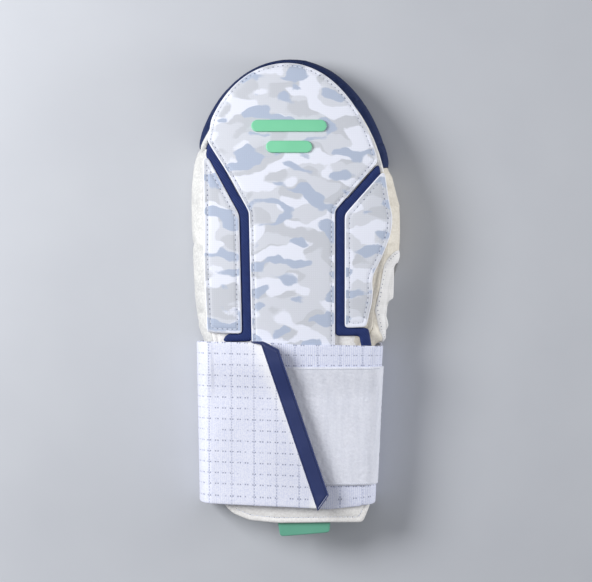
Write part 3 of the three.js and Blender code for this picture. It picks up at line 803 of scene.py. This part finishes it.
# White piping between the toe cap and the channel, which runs out under the gusset
piping = {
    "rows": [(106.8, -50.7, 0.8), (101.4, -52.6, 1.6), (96, -55.0, 3.0), (91, -56.6, 3.6),
             (86.5, -57.4, 3.6)],  # y, x and width
    "high": 1.6, "steps": 40, "sides": 12, "sinkFrom": 93, "sink": 2.2, "blunt": 0.8, "tip": 0.002,
}
pipeRows = np.array(piping["rows"])
pipeY = np.linspace(pipeRows[0, 0], pipeRows[-1, 0], piping["steps"])
pipeX, pipeWide = (np.polyval(np.polyfit(pipeRows[:, 0], pipeRows[:, k], 3), pipeY) for k in (1, 2))
pipeWay = unit(np.stack([np.gradient(pipeY), -np.gradient(pipeX)], -1))
pipeShare = np.linspace(piping["tip"], 1 - piping["tip"], piping["steps"])
pipeEnds = np.sqrt(np.sin(math.pi * pipeShare)).clip(0, piping["blunt"]) / piping["blunt"]
pipeSink = piping["sink"] * smoothstep(-pipeY, -piping["sinkFrom"], -pipeRows[-1, 0])
pipeTurn = np.arange(piping["sides"]) * fullTurn / piping["sides"]
aside = (pipeWide / 2 * pipeEnds)[:, None] * np.cos(pipeTurn)
lift = (piping["high"] / 2 * pipeEnds)[:, None] * np.sin(pipeTurn) - pipeSink[:, None]
pipePoints = np.dstack([
    pipeX[:, None] + pipeWay[:, :1] * aside, pipeY[:, None] + pipeWay[:, 1:] * aside,
    skinHeight(pipeX, pipeY)[:, None] + lift])
addPiece("toePiping", pipePoints.reshape(-1, 3), tubeFaces(piping["steps"], piping["sides"]), [whiteLeather],
         slotName="white_leather")
print("outer gusset and toe cap sewn")


# Thumb side wall with its hole, and the knitted band bound round the hole

thumb = {
    "x": 56, "y": -0.5, "z": 20, "halfLength": 21, "halfHeight": 9.5, "tiltDeg": 35, "cutReach": 30,
    "steps": 120, "bandWide": 7.5, "bandHigh": 1.6, "bandSteps": 13, "bandCurve": 4, "offSkin": 0.15,
    "shrink": 0.15, "edgeRound": 0.4, "edgeCurve": 6, "flatter": 0.9, "flatYs": (4, 10),
    "hoodYs": (-24, -18.5, -12.6, -4, -1.5, 17, 21), "hoodXs": (56.2, 57.8, 55.6, 55.8, 59.4, 60.5, 63.4),
    "hoodLeast": 0.3, "hoodRoot": 0.1, "hoodFall": 0.38, "hoodThick": 1.7, "hoodNose": (0.35, 0, -0.2),
    "hoodOver": (0.2, 0.4, 0.6, 0.8, 0.93, 1.0), "hoodUnder": (1.0, 0.6, 0.2), "hoodUnderHigh": 0.9,
    "hoodRise": 1.3, "hoodDip": 0.6, "hoodBlend": 1.5, "lip": 0.7, "lipShares": (0.1, 0.9, 7),
    "innerBand": 2.2, "innerHigh": 0.9, "offEdge": 0.12,
    "seamRing": 2, "seamFrom": 4, "seamShort": 3, "seamSkip": 2,
}
tilt = math.radians(thumb["tiltDeg"])
thumbWay = np.array([math.cos(tilt), 0, math.sin(tilt)])
thumbUp = np.array([-math.sin(tilt), 0, math.cos(tilt)])
thumbAlong = np.array([0, 1.0, 0])
thumbCentre = np.array([thumb["x"], thumb["y"], thumb["z"]])
ringTurn = np.arange(thumb["steps"]) * fullTurn / thumb["steps"]


def thumbRing(grow):
    along = (np.cos(ringTurn) * (thumb["halfLength"] + grow))[:, None] * thumbAlong
    return thumbCentre + along + (np.sin(ringTurn) * (thumb["halfHeight"] + grow))[:, None] * thumbUp


def cutThumbHole(piece):
    ends = [thumbRing(0) + thumbWay * thumb["cutReach"] * way for way in (-1, 1)]
    cutter = addPiece("thumbCutter", np.concatenate(ends), tubeFaces(2, thumb["steps"]), [])
    cut = piece.modifiers.new("thumbHole", "BOOLEAN")
    cut.object = cutter
    cut.operation = "DIFFERENCE"
    cut.solver = "EXACT"
    seen = piece.evaluated_get(bpy.context.evaluated_depsgraph_get())
    cleanMesh = bpy.data.meshes.new_from_object(seen)
    piece.modifiers.clear()
    piece.data = cleanMesh
    bpy.data.objects.remove(cutter)


def skinTree(grid):
    return BVHTree.FromPolygons(grid.reshape(-1, 3).tolist(), gridFaces(*grid.shape[:2]))


# What lies behind a ring on a skin, seen along the way that the thumb comes out
def behindRing(tree, grow):
    spots = thumbRing(grow) + thumbWay * thumb["cutReach"]
    return [tree.ray_cast(Vector(spot), Vector(-thumbWay)) for spot in spots]


# How far past the hole a ring may grow, up to some width, and still have the skin behind it
def growthOnSkin(tree, most):
    growth = np.full(thumb["steps"], float(most))
    while True:
        missed = [hit[0] is None for hit in behindRing(tree, growth)]
        if not any(missed):
            return growth
        growth[missed] -= thumb["shrink"]


def ringOnSkin(tree, grow):
    hits = behindRing(tree, grow)
    facing = [hit[1] if hit[1].dot(Vector(thumbWay)) > 0 else -hit[1] for hit in hits]
    return np.array([hit[0] for hit in hits]), np.array(facing)


# The leather swells out where the strap's edge stops pressing on it
besideStrap = np.exp(-((thumbStations[:, 1:2] - padding["bulgeY"]) / padding["bulgeMm"]) ** 2)
thumbOffset = paddedOffset(thumbStations, 9.0, padding["thumbSlack"])
thumbOffset += padding["bulge"] * besideStrap * np.sin(math.pi * wallAcross)
thumbGusset, thumbInner, thumbOuter = wallPiece(
    "thumbGusset", thumbStations, thumbOffset, creamLeather, node="gusset_thumb", slotName="cream_leather")
cutThumbHole(thumbGusset)

# Rings of the band, from its outer edge over its crown and its hood, through the hole and back
outerSkin, innerSkin = skinTree(thumbOuter), skinTree(thumbInner)
bandGrowth = growthOnSkin(outerSkin, thumb["bandWide"])
upperHalf = np.sin(ringTurn).clip(0, 1)[:, None]
lowerHalf = (-np.sin(ringTurn)).clip(0, 1)[:, None] ** 0.5
bandSection = []
for share in np.linspace(0, 1, thumb["bandSteps"]):
    place, normal = ringOnSkin(outerSkin, bandGrowth * (1 - share))
    flatter = 1 - thumb["flatter"] * lowerHalf * smoothstep(place[:, 1:2], *thumb["flatYs"])
    crown = thumb["bandHigh"] * (1 - (1 - share) ** thumb["bandCurve"]) * flatter + thumb["offSkin"]
    rounding = thumb["edgeRound"] * share ** thumb["edgeCurve"] * (1 - upperHalf)
    bandSection.append(place + normal * crown * (1 - rounding))

outerLip, outerWay = ringOnSkin(outerSkin, 0)
hoodEdge = np.interp(outerLip[:, 1], thumb["hoodYs"], thumb["hoodXs"])
hoodOut = (hoodEdge - outerLip[:, 0]).clip(thumb["hoodLeast"])[:, None]
hoodReach = hoodOut * upperHalf ** 0.5 + thumb["hoodRoot"]
hoodTip = outerLip + np.array([1, 0, -thumb["hoodFall"]]) * hoodReach
hoodHalf = np.array([0, 0, thumb["hoodThick"] / 2]) * np.minimum(1, hoodReach)
for share in thumb["hoodOver"]:
    fromBand = outerWay * thumb["bandHigh"] * (1 - share) ** thumb["hoodBlend"]
    rise = hoodHalf * (thumb["hoodRise"] * share - thumb["hoodDip"] * share ** thumb["edgeCurve"])
    bandSection.append(outerLip + (hoodTip - outerLip) * share + fromBand + rise)
bandSection.append(hoodTip + np.array(thumb["hoodNose"]) * np.minimum(1, hoodReach))
for share in thumb["hoodUnder"]:
    bandSection.append(outerLip + (hoodTip - outerLip) * share - hoodHalf * thumb["hoodUnderHigh"])

innerLip, innerWay = ringOnSkin(innerSkin, 0)
innerFold, foldWay = ringOnSkin(innerSkin, growthOnSkin(innerSkin, thumb["innerBand"]))
lipAside = unit(thumbRing(0) - thumbRing(-1))
for share in np.linspace(*thumb["lipShares"]):
    swell = thumb["lip"] * math.sin(math.pi * share) ** 0.5
    bandSection.append(outerLip + (innerLip - outerLip) * share - lipAside * swell)
bandSection.append(innerLip - innerWay * thumb["innerHigh"])
bandSection.append(innerFold - foldWay * thumb["innerHigh"])
bandSection.append(innerFold - foldWay * thumb["offSkin"])
bandSection.append(innerLip - innerWay * thumb["offSkin"] - lipAside * thumb["offEdge"])
bandSection.append(outerLip + outerWay * thumb["offEdge"] - lipAside * thumb["offEdge"])
bandRings = np.array(bandSection)
ringCount = len(bandRings)
bandFaces = np.array(gridFaces(ringCount + 1, thumb["steps"], wrap=True)) % (ringCount * thumb["steps"])
thumbBand = addPiece("thumbBand", bandRings.reshape(-1, 3), bandFaces.tolist(), [ribKnit], node="thumb_rim",
                     slotName="white_knit")
print("thumb gusset cut and bound")


# Palm and back panels, with the cuff tongue that shows past the strap

panel = {
    "palmThick": 3, "backThick": 2.5, "soften": 1.2, "round": 1.1, "seam": 3.4, "groove": 0.35,
    "meetWalls": 0.4, "palmStep": 1.6, "backStep": 1.4, "gridStep": 4.0, "palmDepths": [0.3, 1.1, 3],
    "creamFromX": 36, "creamYs": (-45, 76), "cuffFromY": -120, "seamPastStrap": 1,
    "cuff": [(-45.2, -124), (-42.6, -129.8), (-37.9, -133.6), (-28.4, -137.4), (-11, -139), (21.8, -138.6),
             (40.7, -138.9), (44.6, -129.7), (45.8, -123)],
}
sewnDepths = [0.1, 0.3, 0.6, 1.0, 1.5, 1.9, 2.3, 2.7, 3.1, 3.5, 4.0, 4.6, 5.6, 7.5]
palmLoop = softLoop(planOutline("palm_panel"), panel["palmStep"], panel["soften"])
palmTop = roundedTop(panel["palmThick"], panel["round"])
palmPiece = plate("palmPanel", palmLoop, lambda x, y: palmHeight(y), palmTop, panel["palmDepths"],
                  [whiteLeather], gridStep=panel["gridStep"], node="palm_panel", slotName="white_leather")

backOutline = planOutline("back_panel")
backOutline = backOutline[backOutline[:, 1] > panel["cuffFromY"]]
afterCuff = np.linalg.norm(backOutline - np.roll(backOutline, 1, 0), axis=1).argmax()
backOutline = np.concatenate([np.roll(backOutline, -afterCuff, 0), panel["cuff"]])
backLoop = softLoop(backOutline, panel["backStep"], panel["soften"])
backLoop = backLoop - inwardOf(backLoop) * panel["meetWalls"]
backTop = roundedTop(panel["backThick"], panel["round"], panel["groove"], panel["seam"])
backPiece = plate("backPanel", backLoop, lambda x, y: backHeight(x, y) - panel["backThick"], backTop,
                  sewnDepths, [backLeather], gridStep=panel["gridStep"], node="back_panel",
                  slotName="white_leather")
backPiece.data.materials.append(creamLeather)
creamLow, creamHigh = panel["creamYs"]
for face in backPiece.data.polygons:
    x, y, _ = face.center / mm
    if x > panel["creamFromX"] and creamLow < y < creamHigh:
        face.material_index = 1
print("palm and back panels laid")


# Guard plates on the back: printed cloth on foam, die cut, sewn down along every edge

guard = {
    "thick": 3.2, "step": 1.2, "soften": 1.5, "round": 0.9, "groove": 0.5, "seamWide": 1.0, "puff": 0.2,
    "rawEdgeAndHighlight": 0.7,
    "plates": [("guard_centre", "centreGuard", 2.2), ("guard_outer", "outerGuard", 2.6),
               ("guard_thumb", "thumbGuard", 2.8)],  # node, piece, seam from the edge
    "toeWiden": [(1.6, (10, 45), (70, 95)), (1.9, (5, 25), (99, 110))],  # by how much, over -x and over y
    "outerWiden": (1.9, 3.1), "outerYs": (-85, 22), "outerWays": (0.2, 0.8),
    "thumbWiden": (1.4, 43, 10), "thumbNarrow": (2.6, 12, 9), "thumbXs": (40, 46),
    "footDrop": 1.3, "footYs": (8, 15),
}


def guardSeat(x, y):
    return skinHeight(x, y) + body["gap"]


# The print turns down over the little finger edge, so both plates there reach a little past their solids;
# the third one bends out over the knuckle and in beside the thumb
def reachOut(nodeName, loop):
    x, y = loop.T
    drop = guard["footDrop"] * smoothstep(-y, *guard["footYs"])
    if nodeName == "guard_centre":
        out = sum(by * smoothstep(-x, *xs) * smoothstep(y, *ys) for by, xs, ys in guard["toeWiden"])
        drop = 0
    elif nodeName == "guard_outer":
        atTop, atFoot = guard["outerWiden"]
        facing = smoothstep(inwardOf(loop)[:, 0], *guard["outerWays"])
        out = (atTop + (atFoot - atTop) * smoothstep(-y, *guard["outerYs"])) * facing
    else:
        wide, wideY, wideLong = guard["thumbWiden"]
        narrow, narrowY, narrowLong = guard["thumbNarrow"]
        wider = wide * np.exp(-((y - wideY) / wideLong) ** 2)
        narrower = narrow * np.exp(-((y - narrowY) / narrowLong) ** 2)
        out = (narrower - wider) * smoothstep(x, *guard["thumbXs"])
    return np.stack([x - out, y - drop], -1)


# Places along the inside of an outline, at even steps
def seamPoints(loop, depth):
    return evenSteps(ringInside(loop, depth), stitching["pitch"])[0]


for nodeName, pieceName, seamDepth in guard["plates"]:
    loop = reachOut(nodeName, softLoop(planOutline(nodeName), guard["step"], guard["soften"]))
    guardTop = roundedTop(guard["thick"], guard["round"], guard["groove"], seamDepth, guard["seamWide"],
                          guard["puff"])
    # The foam's white also covers the rounded top edge of each plate, as a painted highlight along its rim
    piece = plate(pieceName, loop, guardSeat, guardTop, sewnDepths, [camoCloth, foamEdgeAndHighlight],
                  edgeDepth=guard["rawEdgeAndHighlight"], node=nodeName, slotName="printed_cloth")
    seam = seamPoints(loop, seamDepth)
    seam = seam[seam[:, 1] > stitching["fromY"]]
    seam = np.concatenate([seam, seam[:1]])
    x, y = seam.T
    height = guardSeat(x, y) + guardTop(x, y, np.full(len(x), seamDepth))
    gaps = np.linalg.norm(np.diff(seam, axis=0), axis=1) > 2 * stitching["pitch"]
    for stretch in np.split(np.column_stack([seam, height]), np.flatnonzero(gaps) + 1):
        sewRow(stretch)
print("guard plates sewn")


# Sunken channels between the guards

channel = {
    "thick": 2, "step": 1.0, "soften": 1.4, "round": 1.9, "underGuards": 0.5,
    "depths": [0.1, 0.3, 0.7, 1.2, 1.9], "gridStep": 1.2, "bendMm": 1.5, "footYs": (-4.5, -0.5),
    "cornerReach": 1.5,
    "feet": [
        {"node": "channel_outer", "piece": "outerChannel", "bendX": -33.2, "topY": -21.6,
         "corner": (-44.5, -23), "way": (-1, 1), "radius": 5.4},
        {"node": "channel_thumb", "piece": "thumbChannel", "bendX": 29.9, "topY": -17.6,
         "corner": (23.5, -24.7), "way": (-1, -1), "radius": 3.4},
    ],
}


# The top edge of a foot lies lower, where the guard above it ends
def loweredFoot(loop, bendX, topY):
    x, y = loop.T
    past = smoothstep((x - bendX) * np.sign(bendX), 0, channel["bendMm"])
    share = past * smoothstep(y - topY, *channel["footYs"])
    return np.stack([x, y - guard["footDrop"] * share], -1)


def roundedCorner(loop, corner, way, radius):
    centre = np.array(corner) - np.array(way) * radius
    away = loop - centre
    far = np.linalg.norm(away, axis=1)
    near = np.linalg.norm(loop - corner, axis=1) < channel["cornerReach"] * radius
    cut = near & (away * way > 0).all(1) & (far > radius)
    return np.where(cut[:, None], centre + away * (radius / far)[:, None], loop)


channelTop = roundedTop(channel["thick"], channel["round"])
for foot in channel["feet"]:
    loop = softLoop(planOutline(foot["node"]), channel["step"], channel["soften"])
    loop = loweredFoot(loop - inwardOf(loop) * channel["underGuards"], foot["bendX"], foot["topY"])
    loop = roundedCorner(loop, foot["corner"], foot["way"], foot["radius"])
    piece = plate(foot["piece"], loop, guardSeat, channelTop, channel["depths"], [channelTwill],
                  gridStep=channel["gridStep"], node=foot["node"], slotName="navy_cloth")
    setWeave(piece, np.array([v.co.xy for v in piece.data.vertices]) / mm)
print("channels laid")


# Wrist strap: one elastic band from its start under the flap, round the wrist, to its slanted end

strap = {
    "top": -28.5, "bottom": -128.3, "thick": 2, "startX": -44, "layerGap": 1.9, "overGuard": 3.6,
    "ramp": (-63.5, -38.5), "leftTop": -61.6, "leftBottom": -60, "rightTop": 54, "rightBottom": 49.4,
    "endYs": (-128.3, -120.7, -28.5), "endXs": (12.9, 14.8, -15.5), "endLift": 1.8, "liftMm": 26,
    "rows": 70, "lowerSteps": 56, "cornerSteps": 16, "sideSteps": 8, "underSteps": 10, "palmSteps": 30,
    "flapSteps": 44, "rounding": 0.9, "wave": 0.7, "waveMm": 22, "waveLong": 0.7, "waveSeed": 3,
    "lineFlapX": 2.2, "lineLowerX": 13.2, "rowY": -35.6, "paintedLightTaper": 1.6,
    "leanTop": 0.02, "leanBottom": 0.036, "leanFade": 34, "flapDrop": 1.0,
    "topFrom": -41, "topXs": (-15, 0, 25, 54), "topDrop": (0, 1.2, 1.4, 2.2),
    "hemFrom": -116, "hemXs": (-44, -15, 10, 20, 32, 48), "hem": (3, 1.5, -1.6, -2.4, -1.2, 0),
}
strapHigh = strap["top"] - strap["bottom"]
halfBand = strap["thick"] / 2
bandOut = body["gap"] + halfBand
bandHighRun = wall["highRun"] + bandOut
bandLowRun = wall["lowRun"] + bandOut
bandLowRise = wall["lowRise"] + body["wristLift"] - halfBand


def strapOver(x, y):
    return backHeight(x, y) + strap["overGuard"] * smoothstep(y, *strap["ramp"]) + bandOut


# The flap lifts a little towards its end, where the stiff bar holds it off the patch
def flapOver(x, y):
    fromEnd = np.interp(y, strap["endYs"], strap["endXs"]) - x
    lift = strap["endLift"] * np.maximum(0, 1 - fromEnd / strap["liftMm"]) ** 2
    return strapOver(x, y) + strap["thick"] + strap["layerGap"] + lift


def bandSides(y):
    down = np.clip((strap["top"] - y) / strapHigh, 0, 1)
    left = strap["leftTop"] + (strap["leftBottom"] - strap["leftTop"]) * down + halfBand
    right = strap["rightTop"] + (strap["rightBottom"] - strap["rightTop"]) * down - halfBand
    return left, right


# The lower layer in x and z at one y, over the thumb edge and some way round its corner
def overThumbEdge(y, startX, turn, steps, cornerSteps):
    right = bandSides(y)[1]
    cornerX = right - bandHighRun
    top = strapOver(cornerX, y)
    rise = top - (backHeight(right, y) - wall["highRise"])
    x = np.linspace(startX, cornerX, steps)
    t = np.linspace(0, turn, cornerSteps)[1:]
    return np.concatenate([
        np.stack([x, strapOver(x, y)], -1),
        np.stack([cornerX + bandHighRun * np.sin(t), top - rise * (1 - np.cos(t))], -1),
    ])


def between(a, b, steps):
    return a + (b - a) * np.linspace(0, 1, steps + 2)[1:-1, None]


def strapPath(y):
    left, right = bandSides(y)
    lower = overThumbEdge(y, strap["startX"], halfPi, strap["lowerSteps"], strap["cornerSteps"])
    t = np.linspace(0, halfPi, strap["underSteps"])
    near, far = 1 - np.cos(t), 1 - np.sin(t)
    underThumb = np.stack([right - bandLowRun * near, halfBand + bandLowRise * far], -1)
    underOuter = np.stack([left + bandLowRun * far, halfBand + bandLowRise * near], -1)
    cornerX = left + bandHighRun
    top = flapOver(cornerX, y)
    rise = top - (backHeight(left, y) - wall["highRise"])
    t = np.linspace(0, halfPi, strap["cornerSteps"])
    upOuter = np.stack([cornerX - bandHighRun * np.cos(t), top - rise * (1 - np.sin(t))], -1)
    x = np.linspace(cornerX, np.interp(y, strap["endYs"], strap["endXs"]), strap["flapSteps"] + 1)[1:]
    return np.concatenate([
        lower, between(lower[-1], underThumb[0], strap["sideSteps"]),
        underThumb, between(underThumb[-1], underOuter[0], strap["palmSteps"]),
        underOuter, between(underOuter[-1], upOuter[0], strap["sideSteps"]),
        upOuter, np.stack([x, flapOver(x, y)], -1)])


def pathNormal(path):
    along = unit(np.gradient(path, axis=0))
    return np.stack([-along[:, 1], along[:, 0]], -1)


def bandLayers(paths, ys, under, over):
    layers = []
    for side in (under, over):
        rows = []
        for path, y, reach in zip(paths, ys, side):
            moved = path + pathNormal(path) * np.asarray(reach)[..., None]
            rows.append(np.column_stack([moved[:, 0], np.full(len(path), y), moved[:, 1]]))
        layers.append(np.array(rows))
    return layers


# Rows close together at the two edges, where the band is rounded off
def edgedRows(low, high, rows, rounding, edgeShares=(0, 0.12, 0.4, 1.0), thinnest=0.25):
    share = np.array(edgeShares) * rounding
    middle = np.linspace(low + rounding, high - rounding, rows)[1:-1]
    ys = np.concatenate([low + share, middle, high - share[::-1]])
    fromEdge = np.minimum(ys - low, high - ys).clip(0, rounding)
    return ys, np.sqrt(1 - (1 - fromEdge / rounding) ** 2) * (1 - thinnest) + thinnest


strapYs, strapFullness = edgedRows(strap["bottom"], strap["top"], strap["rows"], strap["rounding"])
strapPaths = [strapPath(y) for y in strapYs]
reaches = strapFullness * halfBand
inner, outer = bandLayers(strapPaths, strapYs, -reaches, reaches)

# The flap was pulled up at the little finger side when it was closed, and lies in slight waves; the lower
# layer's hem is uneven, and its upper edge sinks towards the thumb
flapColumns = slice(-strap["flapSteps"], None)
leaning = slice(-strap["flapSteps"] - strap["leanFade"], None)
leanShare = smoothstep(np.arange(strap["leanFade"] + strap["flapSteps"]), 0, strap["leanFade"])
down = smoothstep(-strapYs, -strap["top"], -strap["bottom"])[:, None]
lean = strap["leanTop"] + (strap["leanBottom"] - strap["leanTop"]) * down
nearHem = smoothstep(-strapYs, -strap["hemFrom"], -strap["bottom"])[:, None]
nearTop = smoothstep(strapYs, strap["topFrom"], strap["top"])[:, None]
lowerColumns = slice(0, strap["lowerSteps"])
sinking = np.concatenate([
    np.ones(strap["lowerSteps"] + strap["cornerSteps"] - 1),
    np.linspace(1, 0, strap["sideSteps"] + strap["underSteps"])])
for layer in (inner, outer):
    fromEnd = layer[:, -1:, 0] - layer[:, leaning, 0]
    layer[:, leaning, 1] += (lean * fromEnd - nearHem * strap["flapDrop"]) * leanShare
    layer[:, lowerColumns, 1] += nearHem * np.interp(layer[:, lowerColumns, 0], strap["hemXs"], strap["hem"])
    drop = np.interp(layer[:, :len(sinking), 0], strap["topXs"], strap["topDrop"])
    layer[:, :len(sinking), 1] -= nearTop * drop * sinking
    for row in layer[:, flapColumns]:
        for spot in row:
            wave = Vector((spot[0], spot[1] * strap["waveLong"], strap["waveSeed"])) / strap["waveMm"]
            spot[2] += strap["wave"] * noise.noise(wave)
strapPoints, strapFaces = closedBetween(inner, outer)
pathSteps = outer.shape[1]
isPulled = [int(face[0] % pathSteps > pathSteps // 2) for face in strapFaces]
strapPiece = addPiece("wristStrap", strapPoints, strapFaces, [shadedSlackElastic, pulledElastic],
                      node="wrist_strap", slotName="white_elastic", faceMaterial=isPulled)

# How far along the band each point lies, so that the sewn lines fall where they should on both layers
strapRun, strapEnd = [], []
for path, y in zip(strapPaths, strapYs):
    run = runAlong(path) + strap["startX"] - strap["lineLowerX"]
    flapStart = len(path) - strap["flapSteps"]
    fromFlap = run - run[flapStart] + path[flapStart, 0] - strap["lineFlapX"]
    across = np.full(len(path), y - strap["rowY"])
    strapRun.append(np.column_stack([np.where(np.arange(len(path)) < pathSteps // 2, run, fromFlap), across]))
    # Distance from the flap's end, tapered down the band, for the painted highlight by the bar
    taper = 1 + strap["paintedLightTaper"] * (strap["top"] - y) / strapHigh
    strapEnd.append(np.column_stack([(run[-1] - run) * taper, across]))
for name, runs in (("weave", strapRun), ("fromEnd", strapEnd)):
    setWeave(strapPiece, np.concatenate(runs + runs), name)


# Loop patch on the lower layer, over its thumb edge and down the side

patch = {"top": -43.3, "bottom": -116, "startX": -26, "thick": 1.2, "thinEnd": 0.4, "turnDeg": 72,
         "rows": 100, "steps": 100, "cornerSteps": 26, "rounding": 0.8, "tuft": 0.22, "tuftMm": 1.6,
         "seam": 1.1, "seamFromX": 0, "seamTurnDeg": 40, "seamSteps": 34, "seamCornerSteps": 8}
patchYs, patchFullness = edgedRows(patch["bottom"], patch["top"], patch["rows"], patch["rounding"])
patchTurn = math.radians(patch["turnDeg"])
patchPaths = [
    overThumbEdge(y, patch["startX"], patchTurn, patch["steps"], patch["cornerSteps"]) for y in patchYs]
patchBase = halfBand + body["gap"]
patchOver = []
for path, y, full in zip(patchPaths, patchYs, patchFullness):
    tufts = [noise.noise(Vector((x, y, z)) / patch["tuftMm"]) for x, z in path]
    fromEnd = np.linalg.norm(path - path[-1], axis=1).clip(0, 1)
    thick = full * patch["thick"] * (patch["thinEnd"] + (1 - patch["thinEnd"]) * fromEnd)
    patchOver.append(patchBase + thick + patch["tuft"] * np.array(tufts))
patchUnder = [np.full(len(path), patchBase) for path in patchPaths]
patchPoints, patchFaces = closedBetween(*bandLayers(patchPaths, patchYs, patchUnder, patchOver))
patchPiece = addPiece("loopPatch", patchPoints, patchFaces, [loopTape], node="loop_patch",
                      slotName="loop_pile")
print("loop patch laid")


# Moulded rubber: the bar on the flap's slanted end, the pull tab and the two plain bars on the centre guard

rubberDepths = [0.06, 0.18, 0.36, 0.6, 0.8, 1.0, 1.2, 1.4, 1.7, 2.2, 3.0]
bar = {"thick": 2.4, "step": 0.6, "soften": 0.45, "round": 0.7, "rim": 1.1, "rimGroove": 0.4, "rimWide": 0.4,
       "gridStep": 2.0,
       "corners": [(-20.9, -29.6), (13.1, -130.6), (19.9, -120.7), (-10.2, -32.2), (-19.6, -27.4),
                   (-27.4, -27.4), (-27.4, -28.0)]}
tab = {"thick": 2, "step": 0.6, "soften": 1.3, "round": 0.7, "gridStep": 2.0,
       "corners": [(-11.4, -119.5), (-11.4, -138), (-9.7, -148), (20.6, -145.6), (21.2, -138),
                   (21.2, -119.5)]}
badge = {"thick": 1.4, "step": 0.5, "soften": 0.3, "round": 0.6, "gridStep": 1.2,
         "depths": [0.06, 0.18, 0.36, 0.6, 1.2, 2.4],
         "bars": [("badge_bar_upper", "badgeBarUpper"), ("badge_bar_lower", "badgeBarLower")]}


def barSeat(x, y):
    return flapOver(x, y) + halfBand + body["gap"]


def tabSeat(x, y):
    return backHeight(x, y) - panel["backThick"] - body["gap"] - tab["thick"]


def badgeSeat(x, y):
    return backHeight(x, y) + 2 * body["gap"] + guard["thick"]


barTop = roundedTop(bar["thick"], bar["round"], bar["rimGroove"], bar["rim"], bar["rimWide"])
barLoop = softLoop(np.array(bar["corners"]), bar["step"], bar["soften"])
plate("strapEndBar", barLoop, barSeat, barTop, rubberDepths, [navyRubber], gridStep=bar["gridStep"],
      node="strap_end_bar", slotName="navy_rubber")
tabTop = roundedTop(tab["thick"], tab["round"])
tabLoop = softLoop(np.array(tab["corners"]), tab["step"], tab["soften"])
plate("pullTab", tabLoop, tabSeat, tabTop, rubberDepths, [tabRubber], gridStep=tab["gridStep"],
      node="pull_tab", slotName="green_rubber")
badgeTop = roundedTop(badge["thick"], badge["round"])
for nodeName, pieceName in badge["bars"]:
    loop = softLoop(planOutline(nodeName), badge["step"], badge["soften"])
    plate(pieceName, loop, badgeSeat, badgeTop, badge["depths"], [greenRubber], gridStep=badge["gridStep"],
          node=nodeName, slotName="green_rubber")
print("rubber pieces moulded")


# Stitching on the thumb band, the loop patch and the cuff tongue

upperSide = slice(thumb["seamFrom"], -thumb["steps"] // 2 - thumb["seamShort"], thumb["seamSkip"])
sewRow(bandRings[thumb["seamRing"]][upperSide], thread=False, holeScale=stitching["smallHoles"])
for seamY in (patch["top"] - patch["seam"], patch["bottom"] + patch["seam"]):
    row = overThumbEdge(seamY, patch["seamFromX"], math.radians(patch["seamTurnDeg"]), patch["seamSteps"],
                        patch["seamCornerSteps"])
    lifted = row + pathNormal(row) * (patchBase + patch["thick"])
    sewRow(np.column_stack([lifted[:, 0], np.full(len(row), seamY), lifted[:, 1]]), holes=False)
cuffSeam = seamPoints(backLoop, panel["seam"])
cuffSeam = cuffSeam[cuffSeam[:, 1] < strap["bottom"] - panel["seamPastStrap"]]
cuffSeam = cuffSeam[np.argsort(cuffSeam[:, 0])]
cuffHeight = backHeight(*cuffSeam.T) - panel["groove"]
sewRow(np.column_stack([cuffSeam, cuffHeight]), holeScale=stitching["smallHoles"])
addPiece("stitches", *joined(threadRows), [whiteThread])
addPiece("shadedNeedleHoles", *joined(holeRows), [holeShade])
print("stitches made:", len(threadRows), "rows")


# Floor, light and camera

stage = {
    "floorReach": 3.0, "floorBelow": 0.0002, "skyTone": "#e9ebf0", "skyStrength": 0.28,
    "softboxes": [  # a large key on the little finger side, a weaker fill and a wash from above
        {"name": "keySoftbox", "place": (-0.62, 0.22, 0.56), "size": 0.42, "watts": 7.3},
        {"name": "fillSoftbox", "place": (1.0, 0.05, 0.19), "size": 0.36, "watts": 6.0},
        {"name": "topSoftbox", "place": (0.0, 0.2, 1.6), "size": 1.0, "watts": 2.8},
    ],
    "eye": (0.0, 0.002875, 0.915), "lensMm": 87.6, "sensorMm": 36,
}


def addToScene(name, data, place):
    made = bpy.data.objects.new(name, data)
    made.location = place
    bpy.context.scene.collection.objects.link(made)
    return made


reach = stage["floorReach"]
floorMesh = bpy.data.meshes.new("floor")
floorMesh.from_pydata([(-reach, -reach, 0), (reach, -reach, 0), (reach, reach, 0), (-reach, reach, 0)], [],
                      [[0, 1, 2, 3]])
floorMesh.materials.append(mottledSurface("paintedBoard", boardPaint))
addToScene("floor", floorMesh, (0, 0, -stage["floorBelow"]))

for box in stage["softboxes"]:
    light = bpy.data.lights.new(box["name"], "AREA")
    light.shape = "DISK"
    light.size = box["size"]
    light.energy = box["watts"]
    lamp = addToScene(box["name"], light, box["place"])
    lamp.rotation_mode = "QUATERNION"
    lamp.rotation_quaternion = (-Vector(box["place"])).to_track_quat("-Z", "Y")

world = bpy.data.worlds.new("studio")
world.use_nodes = True
sky = world.node_tree.nodes["Background"].inputs
sky["Color"].default_value = hexToLinear(stage["skyTone"])
sky["Strength"].default_value = stage["skyStrength"]
bpy.context.scene.world = world
bpy.context.scene.view_settings.view_transform = "Standard"

eye = bpy.data.cameras.new("eye")
eye.lens = stage["lensMm"]
eye.sensor_width = stage["sensorMm"]
bpy.context.scene.camera = addToScene("viewer", eye, stage["eye"])
print("stage lit")
